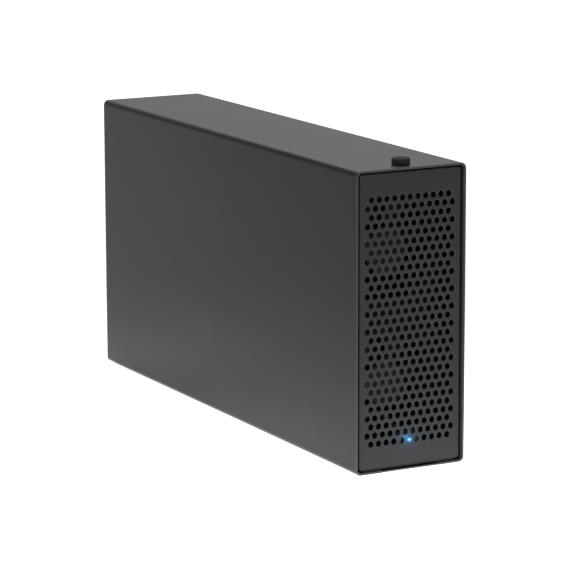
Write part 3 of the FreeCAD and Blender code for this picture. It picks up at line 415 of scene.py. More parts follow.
@finish
def braided(nodes, place, tone):
    """Sleeve of woven threads over leads, its pattern along the tube's own map."""
    tube = nodes.add("ShaderNodeTexCoord", output="UV")
    threads = nodes.add("ShaderNodeMapping", inputs={"Vector": tube, "Scale": (90.0, 8.0, 1.0)})
    weave = nodes.add("ShaderNodeTexChecker", inputs={"Vector": threads, "Scale": 1.0}, output=1)
    fine = noise(nodes, place, 0.4 * MM)
    return surface(nodes, base_color=varied(nodes, 0.7 * weave + 0.3 * fine, tone, 0.6, 1.9),
                   roughness=0.55 + 0.15 * fine, normal=bump(nodes, weave, 0.12 * MM))


@finish
def capped(nodes, place, tone, metal, level):
    """Sleeved can whose top is bare metal above the level."""
    top = axis_of(nodes, place, "Z") > level
    fine = noise(nodes, place, 0.3 * MM)
    return surface(nodes, base_color=mixed(nodes, top, tone, metal), metallic=top, roughness=0.3 + 0.1 * fine,
                   normal=bump(nodes, fine, 0.01 * MM))


# Meshes
WELD = 0.002 * MM
FLAT_ANGLE = math.radians(0.5)
# Widths of the bevels that break sharp edges
PLATE_EDGE = 0.22 * MM
SLOT_EDGE = 0.2 * MM
THIN_EDGE = 0.15 * MM
PART_EDGE = 0.12 * MM
FINE_EDGE = 0.08 * MM
ROUND_EDGE = 0.3 * MM
SOFT_EDGE = 0.4 * MM


def sized():
    return bpy.context.scene.chassis_sizes


def coloured():
    return bpy.context.scene.chassis_colours


def middle_of(node):
    low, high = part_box(node)
    return (low + high) / 2


def add_object(name, mesh):
    piece = bpy.data.objects.new(name, mesh)
    bpy.context.scene.collection.objects.link(piece)
    return piece


def mesh_of(name, points, faces):
    mesh = bpy.data.meshes.new(name)
    mesh.from_pydata([tuple(point) for point in points], [], faces)
    mesh.update()
    return mesh


def final_mesh(carrier, name):
    """Plain mesh of what the carrier's modifiers make; the carrier is removed."""
    depsgraph = bpy.context.evaluated_depsgraph_get()
    mesh = bpy.data.meshes.new_from_object(carrier.evaluated_get(depsgraph))
    mesh.name = name
    bpy.data.objects.remove(carrier)
    return mesh


def evaluated(carrier, name):
    return add_object(name, final_mesh(carrier, name))


def smooth_mesh(mesh, degrees=35.0):
    """Smooth shading, with the edges above the angle kept sharp."""
    mesh.shade_smooth()
    mesh.set_sharp_from_angle(angle=math.radians(degrees))
    return mesh


def smoothed(piece, degrees=35.0):
    smooth_mesh(piece.data, degrees)
    return piece


def dressed(piece, body, slot, made, *nodes):
    """Give the piece its material, and set what it rides on and which nodes it stands for."""
    if made is not None:
        piece.data.materials.clear()
        piece.data.materials.append(made)
    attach(piece, body)
    if nodes:
        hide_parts(*nodes)
    return piece


def painted(made, *names):
    """Give CAD nodes their material."""
    for name in names:
        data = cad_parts[name].data
        data.materials.clear()
        data.materials.append(made)


def rounded_outline(half_width, low, high, radius, steps):
    """Points (x, z) round an upright rectangle with round corners, anticlockwise from the lower right."""
    points = []
    corners = [(half_width - radius, low + radius, -90), (half_width - radius, high - radius, 0),
               (radius - half_width, high - radius, 90), (radius - half_width, low + radius, 180)]
    for x, z, start in corners:
        for i in range(steps + 1):
            angle = math.radians(start + 90 * i / steps)
            points.append((x + radius * math.cos(angle), z + radius * math.sin(angle)))
    return points


def bridged(loops, closed=False):
    """Quads between loops of equal length, each given as a run of indices."""
    count = len(loops[0])
    faces = []
    pairs = list(zip(loops, loops[1:]))
    if closed:
        pairs.append((loops[-1], loops[0]))
    for first, second in pairs:
        for i in range(count):
            j = (i + 1) % count
            faces.append((first[i], first[j], second[j], second[i]))
    return faces


def looped(rings, closed=False):
    """Points and faces of a skin over rings of equal length, and the indices of each ring's points."""
    points = [point for ring in rings for point in ring]
    count = len(rings[0])
    loops = [list(range(i * count, (i + 1) * count)) for i in range(len(rings))]
    return points, bridged(loops, closed), loops


def box_mesh(name, low, high):
    points = [(x, y, z) for z in (low[2], high[2]) for y in (low[1], high[1]) for x in (low[0], high[0])]
    faces = [(0, 2, 3, 1), (4, 5, 7, 6), (0, 1, 5, 4), (1, 3, 7, 5), (3, 2, 6, 7), (2, 0, 4, 6)]
    return mesh_of(name, points, faces)


def prism_mesh(name, outline, front, back):
    """Upright outline of (x, z) points, anticlockwise from the front, drawn out along Y."""
    count = len(outline)
    points = [(x, front, z) for x, z in outline] + [(x, back, z) for x, z in outline]
    faces = [tuple(range(count)), tuple(range(2 * count - 1, count - 1, -1))]
    for i in range(count):
        j = (i + 1) % count
        faces.append((i, count + i, count + j, j))
    return mesh_of(name, points, faces)


def spun(name, profile, steps, origin, axis, radius_at=None):
    """Closed turned mesh from (radius, height) points, from the axis at the foot to the axis at the top."""
    axis = Vector(axis).normalized()
    turn = axis.to_track_quat("Z", "Y").to_matrix()
    rings = []
    for row, (radius, height) in enumerate(profile[1:-1]):
        ring = []
        for i in range(steps):
            angle = 2 * math.pi * i / steps
            reach = radius_at(row, i, radius) if radius_at else radius
            spoke = Vector((reach * math.cos(angle), reach * math.sin(angle), height))
            ring.append(Vector(origin) + turn @ spoke)
        rings.append(ring)
    points, faces, loops = looped(rings)
    foot = len(points)
    points.append(Vector(origin) + axis * profile[0][1])
    points.append(Vector(origin) + axis * profile[-1][1])
    for i in range(steps):
        j = (i + 1) % steps
        faces.append((loops[0][j], loops[0][i], foot))
        faces.append((loops[-1][i], loops[-1][j], foot + 1))
    return mesh_of(name, points, faces)


def rod(name, radius, height, sides, origin, axis):
    """Round bar from the origin along the axis, with which a hole is drilled."""
    profile = [(0, 0), (radius, 0), (radius, height), (0, height)]
    return add_object(name, spun(name, profile, sides, origin, axis))


def combined(piece, operation, others):
    """Boolean modifiers that take the others out of the piece, or join them to it."""
    for other in others:
        modifier = piece.modifiers.new(other.name, "BOOLEAN")
        modifier.operation = operation
        modifier.solver = "EXACT"
        modifier.object = other


def removed(*pieces):
    for piece in pieces:
        bpy.data.objects.remove(piece)


def reworked(name, meshes, change=None):
    """New mesh of what the meshes hold, after a change to it."""
    work = bmesh.new()
    for mesh in meshes:
        work.from_mesh(mesh)
    if change:
        change(work)
    made = bpy.data.meshes.new(name)
    work.to_mesh(made)
    work.free()
    return made


def joined(name, *pieces):
    """One object with the meshes of several, which are removed."""
    mesh = reworked(name, [piece.data for piece in pieces])
    removed(*pieces)
    return add_object(name, mesh)


def merged(name, node):
    """Mesh with a CAD node's form, its doubles merged and its flat faces joined."""
    def change(work):
        bmesh.ops.remove_doubles(work, verts=work.verts, dist=WELD)
        bmesh.ops.dissolve_limit(work, angle_limit=FLAT_ANGLE, verts=work.verts, edges=work.edges)
    return reworked(name, [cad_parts[node].data], change)


def refined(name, body, slot, made, nodes, edge=PLATE_EDGE):
    """Piece with the form of CAD nodes, joined into one, with its sharp edges broken."""
    carrier = add_object(name + "_carrier", merged(name, nodes[0]))
    parts = [add_object(node + "_part", merged(node, node)) for node in nodes[1:]]
    combined(carrier, "UNION", parts)
    bevelled(carrier, edge)
    piece = evaluated(carrier, name)
    removed(*parts)
    return dressed(piece, body, slot, made, *nodes)


def bevelled(piece, width, segments=2, degrees=40.0):
    modifier = piece.modifiers.new("edge_break", "BEVEL")
    modifier.width = width
    modifier.segments = segments
    modifier.limit_method = "ANGLE"
    modifier.angle_limit = math.radians(degrees)
    modifier.harden_normals = True
    piece.data.shade_smooth()


# Geometry trees
SOCKET_KINDS = {float: "NodeSocketFloat", int: "NodeSocketInt", bpy.types.Object: "NodeSocketObject",
                bpy.types.Material: "NodeSocketMaterial"}


class Growth:
    """Geometry tree with a named input for each value, which it holds as its inputs."""

    def __init__(self, name, values):
        self.values = values
        self.tree = bpy.data.node_groups.new(name, "GeometryNodeTree")
        self.nodes = Nodes(self.tree)
        self.tree.interface.new_socket("Geometry", in_out="INPUT", socket_type="NodeSocketGeometry")
        for label, value in values.items():
            kind = SOCKET_KINDS[type(value)]
            self.tree.interface.new_socket(label, in_out="INPUT", socket_type=kind)
        self.tree.interface.new_socket("Geometry", in_out="OUTPUT", socket_type="NodeSocketGeometry")
        entry = self.tree.nodes.new("NodeGroupInput")
        self.inputs = {socket.name: Value(self.nodes, socket) for socket in entry.outputs if socket.name}

    def lifted(self, geometry, height):
        lift = self.nodes.add("ShaderNodeCombineXYZ", inputs={"Z": height})
        return self.nodes.add("GeometryNodeTransform", inputs={"Geometry": geometry, "Translation": lift})

    def grow(self, name, geometry, start):
        """Object with the plain mesh that the tree makes of the start mesh."""
        real = self.nodes.add("GeometryNodeRealizeInstances", inputs={"Geometry": geometry})
        set_material = self.nodes.add("GeometryNodeSetMaterial",
                                      inputs={"Geometry": real, "Material": self.inputs["Material"]})
        self.nodes.add("NodeGroupOutput", inputs={"Geometry": set_material})
        carrier = add_object(name + "_carrier", start)
        modifier = carrier.modifiers.new(name, "NODES")
        modifier.node_group = self.tree
        for item in self.tree.interface.items_tree:
            if item.in_out == "INPUT" and item.name in self.values:
                modifier[item.identifier] = self.values[item.name]
        return evaluated(carrier, name)


def spread(name, growth, points, start, **more):
    """Object with copies of the growth's pattern on the points."""
    add = growth.nodes.add
    one = add("GeometryNodeObjectInfo", inputs={"Object": growth.inputs["Pattern"]}, output="Geometry")
    copies = add("GeometryNodeInstanceOnPoints", inputs={"Points": points, "Instance": one, **more})
    piece = growth.grow(name, copies, start)
    removed(growth.values["Pattern"])
    return piece


def copied(name, shape, places, made):
    """Copies of a small mesh at the places."""
    growth = Growth(name, {"Pattern": add_object(name + "_pattern", shape), "Scale": 1.0, "Material": made})
    given = growth.inputs
    start = mesh_of(name + "_places", places, [])
    return spread(name, growth, given["Geometry"], start, Scale=given["Scale"])


def strewn(name, shape, areas, spacing, made):
    """Copies of a small mesh spread over flat areas, never nearer to each other than the spacing."""
    points = [corner for area in areas for corner in area]
    faces = [tuple(range(4 * i, 4 * i + 4)) for i in range(len(areas))]
    growth = Growth(name, {"Pattern": add_object(name + "_pattern", shape), "Spacing": spacing,
                           "Density": 60000.0, "Seed": 4, "Material": made})
    given = growth.inputs
    spots = growth.nodes.add("GeometryNodeDistributePointsOnFaces", {"distribute_method": "POISSON"},
                             {"Mesh": given["Geometry"], "Distance Min": given["Spacing"],
                              "Density Max": given["Density"], "Seed": given["Seed"]})
    return spread(name, growth, spots, mesh_of(name + "_areas", points, faces))


def screw_head(axis, height):
    """Mesh of a domed head with a cross recess, standing on the origin along the axis."""
    radius = sized().screw_head / 2
    sunk = -0.1 * MM
    profile = [(0, sunk), (0.9 * radius, sunk), (radius, 0.12 * height), (radius, 0.45 * height),
               (0.85 * radius, 0.82 * height), (0.5 * radius, height), (0, height)]
    head = add_object("head_carrier", spun("head", profile, 20, (0, 0, 0), axis))
    turn = Vector(axis).to_track_quat("Z", "Y").to_matrix().to_4x4()
    long, short = 0.55 * radius, 0.15 * radius
    recesses = []
    for reach, width in ((long, short), (short, long)):
        mesh = box_mesh("recess", (-reach, -width, 0.35 * height), (reach, width, 2 * height))
        mesh.transform(turn)
        recesses.append(add_object("recess", mesh))
    combined(head, "DIFFERENCE", recesses)
    mesh = smooth_mesh(final_mesh(head, "screw_head"), 30.0)
    removed(*recesses)
    return mesh


# Sleeve and feet
class ChassisSleeve(bpy.types.Operator):
    """Folded sleeve with smooth long bends and broken cut edges, and its feet"""

    bl_idname = "chassis.sleeve"
    bl_label = "Sleeve"

    BEND_STEPS = 10
    HOLE_SIDES = 48

    def execute(self, context):
        size = sized()
        wall = size.wall
        low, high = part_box("outer_sleeve")
        steps = self.BEND_STEPS
        outer = rounded_outline(high.x, low.z, high.z, size.edge_radius, steps)
        inner = rounded_outline(high.x - wall, low.z + wall, high.z - wall, size.edge_radius - wall, steps)
        rings = [[(x, y, z) for x, z in outline]
                 for outline, y in ((outer, low.y), (outer, high.y), (inner, high.y), (inner, low.y))]
        points, faces, _ = looped(rings, closed=True)
        carrier = add_object("sleeve_carrier", mesh_of("sleeve", points, faces))
        notch_half = size.tongue_width / 2 + size.tongue_clearance
        notch_end = low.y + size.tongue_length + size.tongue_clearance
        notch = add_object("notch", box_mesh("notch", (-notch_half, low.y - wall, low.z - wall),
                                             (notch_half, notch_end, low.z + 2 * wall)))
        hole = rod("hole", size.screw_hole / 2, 4 * wall, self.HOLE_SIDES,
                   (0, middle_of("thumbscrew").y, high.z - 2 * wall), (0, 0, 1))
        combined(carrier, "DIFFERENCE", [notch, hole])
        bevelled(carrier, size.edge_break)
        sleeve = evaluated(carrier, "sleeve")
        removed(notch, hole)
        dressed(sleeve, "sleeve", "sleeve_coat", material("sleeve_coat", sleeve_coat_and_painted_light(coloured().sleeve)),
                "outer_sleeve")
        rubber = material("foot_rubber", moulded(coloured().rubber, 0.75))
        for node in ("foot_front_left", "foot_front_right", "foot_rear_left", "foot_rear_right"):
            refined(node + "_pad", "sleeve", "foot_rubber", rubber, [node], SOFT_EDGE)
        return {"FINISHED"}


# Front panel
class ChassisGrille(bpy.types.Operator):
    """Front panel with staggered rows of round punched holes, and its folded returns"""

    bl_idname = "chassis.grille"
    bl_label = "Front grille"

    CORNER_STEPS = 6
    LIP = 0.18 * MM
    HOLE_SIDES = 28

    def execute(self, context):
        size = sized()
        low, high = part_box("front_grille")
        made = material("panel_coat", punched_coat_and_painted_light(coloured().panel))
        panel = self.punched_panel(low, high, size, made)
        smoothed(panel, 30.0)
        dressed(panel, "sled", "grille_coat", None, "front_grille")
        dressed(self.returns(low, high, size), "sled", "grille_coat", made)
        return {"FINISHED"}

    def punched_panel(self, low, high, size, made):
        """The rim is a mesh lying down, front side up; the tree fills and punches it, then stands it up."""
        front = -low.y
        back = front - size.sheet
        steps = self.CORNER_STEPS
        rings = []
        for i in range(steps + 1):
            angle = math.pi / 2 * i / steps
            inset = size.panel_bevel * (1 - math.sin(angle))
            depth = size.panel_bevel * (1 - math.cos(angle))
            radius = size.panel_corner - inset
            outline = rounded_outline(high.x - inset, low.z + inset, high.z - inset, radius, steps)
            rings.append([(x, z, front - depth) for x, z in outline])
        rings.append([(x, y, back) for x, y, z in rings[-1]])
        points, faces, _ = looped(rings)
        rim = mesh_of("panel_rim", points, [face[::-1] for face in faces])
        growth = Growth("punched_panel", {
            "Hole Radius": size.hole_diameter / 2, "Lip": self.LIP, "Pitch": size.hole_pitch,
            "Rows": size.hole_rows, "Columns": size.hole_columns, "Sides": self.HOLE_SIDES,
            "Middle": (low.z + high.z) / 2, "Front": front, "Back": back, "Material": made})
        add = growth.nodes.add
        given = growth.inputs
        centres = self.hole_centres(growth)
        walls = self.hole_walls(growth)
        punched = add("GeometryNodeInstanceOnPoints", inputs={"Points": centres, "Instance": walls})
        parts = [given["Geometry"], punched]
        position = add("GeometryNodeInputPosition")
        depth = add("ShaderNodeSeparateXYZ", inputs={0: position}, output="Z")
        neighbours = add("GeometryNodeInputMeshEdgeNeighbors")
        middle = (given["Front"] + given["Back"]) / 2
        for plane, radius, is_front in ((given["Front"], given["Hole Radius"] + given["Lip"], True),
                                        (given["Back"], given["Hole Radius"], False)):
            side = (depth > middle) if is_front else (depth < middle)
            edge = (neighbours < 1.5) * side
            outline = add("GeometryNodeMeshToCurve", inputs={"Mesh": given["Geometry"], "Selection": edge})
            ring = add("GeometryNodeCurvePrimitiveCircle",
                       inputs={"Resolution": given["Sides"], "Radius": radius}, output="Curve")
            rings_on = add("GeometryNodeInstanceOnPoints", inputs={"Points": centres, "Instance": ring})
            real = add("GeometryNodeRealizeInstances", inputs={"Geometry": rings_on})
            curves = add("GeometryNodeJoinGeometry", inputs={"Geometry": [outline, real]})
            sheet = growth.lifted(add("GeometryNodeFillCurve", inputs={"Curve": curves}), plane)
            parts.append(sheet if is_front else add("GeometryNodeFlipFaces", inputs={"Mesh": sheet}))
        whole = add("GeometryNodeRealizeInstances",
                    inputs={"Geometry": add("GeometryNodeJoinGeometry", inputs={"Geometry": parts})})
        welded = add("GeometryNodeMergeByDistance", inputs={"Geometry": whole, "Distance": WELD})
        upright = add("GeometryNodeTransform", inputs={"Geometry": welded, "Rotation": (math.pi / 2, 0, 0)})
        return growth.grow("front_panel", upright, rim)

    def hole_centres(self, growth):
        """Points of a grid, with every other row moved half a pitch and its last hole left out."""
        add = growth.nodes.add
        given = growth.inputs
        grid = add("GeometryNodeMeshGrid", inputs={
            "Size X": (given["Columns"] - 1) * given["Pitch"], "Size Y": (given["Rows"] - 1) * given["Pitch"],
            "Vertices X": given["Columns"], "Vertices Y": given["Rows"]}, output="Mesh")
        place = add("GeometryNodeInputPosition")
        row = add("ShaderNodeSeparateXYZ", inputs={0: place}, output="Y") / given["Pitch"]
        half_row = add("ShaderNodeMath", {"operation": "ROUND"}, {0: row}) / 2
        is_short = add("ShaderNodeMath", {"operation": "FRACT"}, {0: half_row + 0.01}) < 0.25
        shift = add("ShaderNodeCombineXYZ", inputs={"X": is_short * given["Pitch"] / 2, "Y": given["Middle"]})
        moved = add("GeometryNodeSetPosition", inputs={"Geometry": grid, "Offset": shift})
        across = add("ShaderNodeSeparateXYZ", inputs={0: add("GeometryNodeInputPosition")}, output="X")
        too_far = across > (given["Columns"] - 0.9) * given["Pitch"] / 2
        return add("GeometryNodeDeleteGeometry", {"domain": "POINT"},
                   {"Geometry": moved, "Selection": too_far})

    def hole_walls(self, growth):
        """Wall of one hole: a short flare at the front, then straight to the back."""
        add = growth.nodes.add
        given = growth.inputs
        flare_foot = given["Front"] - given["Lip"]
        flare = add("GeometryNodeMeshCone", {"fill_type": "NONE"}, {
            "Vertices": given["Sides"], "Radius Top": given["Hole Radius"] + given["Lip"],
            "Radius Bottom": given["Hole Radius"], "Depth": given["Lip"]}, "Mesh")
        straight = add("GeometryNodeMeshCylinder", {"fill_type": "NONE"}, {
            "Vertices": given["Sides"], "Radius": given["Hole Radius"],
            "Depth": flare_foot - given["Back"]}, "Mesh")
        parts = [growth.lifted(flare, flare_foot), growth.lifted(straight, (flare_foot + given["Back"]) / 2)]
        both = add("GeometryNodeJoinGeometry", inputs={"Geometry": parts})
        return add("GeometryNodeFlipFaces", inputs={"Mesh": both})

    def returns(self, low, high, size):
        """Folded edge behind the panel, up one side, over the top and down the other."""
        foot = low.z + size.panel_corner
        outer = size.panel_corner
        inner = size.panel_corner - size.sheet
        steps = self.CORNER_STEPS

        def path(inset, radius):
            right = high.x - inset
            upper_corners = slice(steps + 1, 3 * (steps + 1))
            over = rounded_outline(right, foot, high.z - inset, radius, steps)[upper_corners]
            return [(right, foot)] + over + [(-right, foot)]

        back = low.y + size.sheet
        rings = []
        for line, y in ((path(0, outer), back), (path(0, outer), high.y), (path(size.sheet, inner), high.y),
                        (path(size.sheet, inner), back)):
            rings.append([(x, y, z) for x, z in line])
        points = [point for ring in rings for point in ring]
        count = len(rings[0])
        faces = []
        for row in range(4):
            after = (row + 1) % 4
            for i in range(count - 1):
                faces.append((row * count + i, row * count + i + 1, after * count + i + 1, after * count + i))
        faces.append(tuple(row * count for row in range(4)))
        faces.append(tuple(row * count + count - 1 for row in (3, 2, 1, 0)))
        piece = add_object("panel_returns", mesh_of("panel_returns", points, faces))
        return smoothed(piece)


# Thumbscrew
class ChassisThumbscrew(bpy.types.Operator):
    """Knurled black thumbscrew on the top"""

    bl_idname = "chassis.thumbscrew"
    bl_label = "Thumbscrew"

    SHANK = 2.0 * MM
    SHANK_TIP = 0.4 * MM
    COLLAR = 0.35 * MM
    CHAMFER = 0.55 * MM
    CROWN = 0.75 * MM
    RIM = 1.5 * MM
    RIM_FOOT = 1.8 * MM
    DISH = 0.25 * MM
    BREAK = 0.1 * MM
    KNURL_SLOPE = 0.15 * MM
    # Share of a groove's depth at each step round one knurl, and the profile's rows that have knurls
    KNURL = (0.0, 0.5, 1.0, 0.5)
    KNURLED_ROWS = (6, 7)

    def execute(self, context):
        size = sized()
        low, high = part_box("thumbscrew")
        sleeve_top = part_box("outer_sleeve")[1].z
        radius = high.x
        smooth_radius = radius - size.knurl_depth
        foot = low.z - sleeve_top
        height = high.z - sleeve_top
        dished = height - self.DISH
        knurl_foot = self.COLLAR + self.KNURL_SLOPE
        knurl_top = height - self.CHAMFER - self.BREAK
        profile = [(0, foot), (self.SHANK - self.SHANK_TIP, foot), (self.SHANK, foot + self.SHANK_TIP),
                   (self.SHANK, 0), (smooth_radius - self.BREAK, 0), (smooth_radius, self.BREAK),
                   (smooth_radius, self.COLLAR), (radius, knurl_foot), (radius, knurl_top),
                   (smooth_radius, knurl_top + self.BREAK), (radius - self.CROWN, height),
                   (radius - self.RIM, height), (radius - self.RIM_FOOT, dished), (0, dished)]

        def radius_at(row, i, reach):
            if row not in self.KNURLED_ROWS:
                return reach
            return reach - size.knurl_depth * self.KNURL[i % len(self.KNURL)]

        mesh = spun("thumbscrew_knurled", profile, size.knurls * len(self.KNURL),
                    (0, middle_of("thumbscrew").y, sleeve_top), (0, 0, 1), radius_at)
        piece = smoothed(add_object("thumbscrew_knurled", mesh), 30.0)
        made = material("screw_black", coated(coloured().screw, 0.8, 0.0, 0.05, 0.12 * MM, 0.006 * MM))
        dressed(piece, "thumbscrew", "screw_black", made, "thumbscrew")
        painted(material("zinc_sheet", plated(coloured().zinc)), "retaining_ring", "lock_nut")
        return {"FINISHED"}


# Light
class ChassisLight(bpy.types.Operator):
    """Lit lens in the lowest row of holes, and its holder"""

    bl_idname = "chassis.light"
    bl_label = "Light"

    def execute(self, context):
        painted(material("light_lens", lit_lens(coloured().light)), "light_pipe")
        painted(material("holder_plastic", moulded(coloured().plastic)), "led_holder")
        return {"FINISHED"}


# Sheet metal of the sled
class ChassisSled(bpy.types.Operator):
    """Tray, fan bracket, rear panel and shelf that draw out of the sleeve, and their screws"""

    bl_idname = "chassis.sled"
    bl_label = "Sled"

    COVERS = ("slot_cover_1", "slot_cover_2", "slot_cover_3")
    TAB_SCREW_HEIGHT = 2.0 * MM
    TAB_SCREW_ASIDE = 6.6 * MM
    TAB_SCREW_BACK = 7.6 * MM
    BOARD_SCREW_HEIGHT = 1.8 * MM
    BOARD_SCREW_INSET = 2.9 * MM
    REAR_SCREW_HEIGHT = 1.4 * MM
    REAR_SCREW_INSET = 5 * MM
    REAR_SCREW_DROPS = (4.4 * MM, 50 * MM)
    BESIDE_GUARD = 3.4 * MM
    BESIDE_INLET = 4.6 * MM

    def execute(self, context):
        tone = coloured()
        zinc = material("zinc_sheet", plated(tone.zinc))
        dark = material("rear_coat", coated(tone.panel, 0.5))
        nickel = material("bracket_nickel", plated(tone.nickel, 0.28))
        refined("tray", "sled", "zinc_sheet", material("tray_sheet", tray_finish(tone.zinc, tone.sleeve)),
                ["base_pan", "side_wall_left", "side_wall_right", "pan_rear_wall"])
        refined("shelf", "sled", "zinc_sheet", zinc, ["backplane_shelf"])
        refined("standoffs", "sled", "zinc_sheet", zinc, ["board_standoffs"], THIN_EDGE)
        black = material("fan_wall_coat", coated(shade(tone.panel, 0.35), 0.6, 0.0, 0.2))
        refined("fan_wall", "sled", "rear_coat", black, ["fan_bracket"])
        refined("rear_plate", "sled", "rear_coat", dark, ["rear_panel"])
        for number, node in enumerate(self.COVERS):
            refined("cover_%d" % (number + 1), "sled", "bracket_nickel", nickel, [node], THIN_EDGE)
        refined("card_bracket", "sled", "bracket_nickel", nickel, ["interface_bracket"], THIN_EDGE)
        for number, node in enumerate(("host_port_1", "host_port_2")):
            refined("socket_%d" % (number + 1), "sled", "bracket_nickel", nickel, [node], FINE_EDGE)
        up, back = (0, 0, 1), (0, 1, 0)
        for name, places, axis, height, made, slot in (
                ("tab_screws", self.tab_places(), up, self.TAB_SCREW_HEIGHT, nickel, "bracket_nickel"),
                ("board_screws", self.post_places(), up, self.BOARD_SCREW_HEIGHT, nickel, "bracket_nickel"),
                ("rear_screws", self.rear_places(), back, self.REAR_SCREW_HEIGHT, dark, "rear_coat")):
            dressed(copied(name, screw_head(axis, height), places, made), "sled", slot, None)
        return {"FINISHED"}

    def tab_places(self):
        """Places on the tabs of the slot covers and the card's bracket."""
        places = []
        for node in self.COVERS + ("interface_bracket",):
            low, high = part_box(node)
            places.append((high.x - self.TAB_SCREW_ASIDE, low.y + self.TAB_SCREW_BACK, high.z))
        return places

    def post_places(self):
        """Places over the backplane's standoffs."""
        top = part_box("backplane_board")[1].z
        low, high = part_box("board_standoffs")
        inset = self.BOARD_SCREW_INSET
        return [(x, y, top) for x in (low.x + inset, high.x - inset)
                for y in (low.y + inset, (low.y + high.y) / 2, high.y - inset)]

    def rear_places(self):
        """Places on the rear panel, and on the tray's rear wall beside the fan guard and the inlet."""
        inset = self.REAR_SCREW_INSET
        low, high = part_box("rear_panel")
        places = [(x, high.y, high.z - drop) for x in (low.x + inset, high.x - inset)
                  for drop in self.REAR_SCREW_DROPS]
        guard_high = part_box("psu_fan_guard")[1]
        low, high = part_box("pan_rear_wall")
        for x in (guard_high.x + self.BESIDE_GUARD, high.x - self.BESIDE_INLET):
            places += [(x, high.y, low.z + inset), (x, high.y, high.z - inset)]
        return places


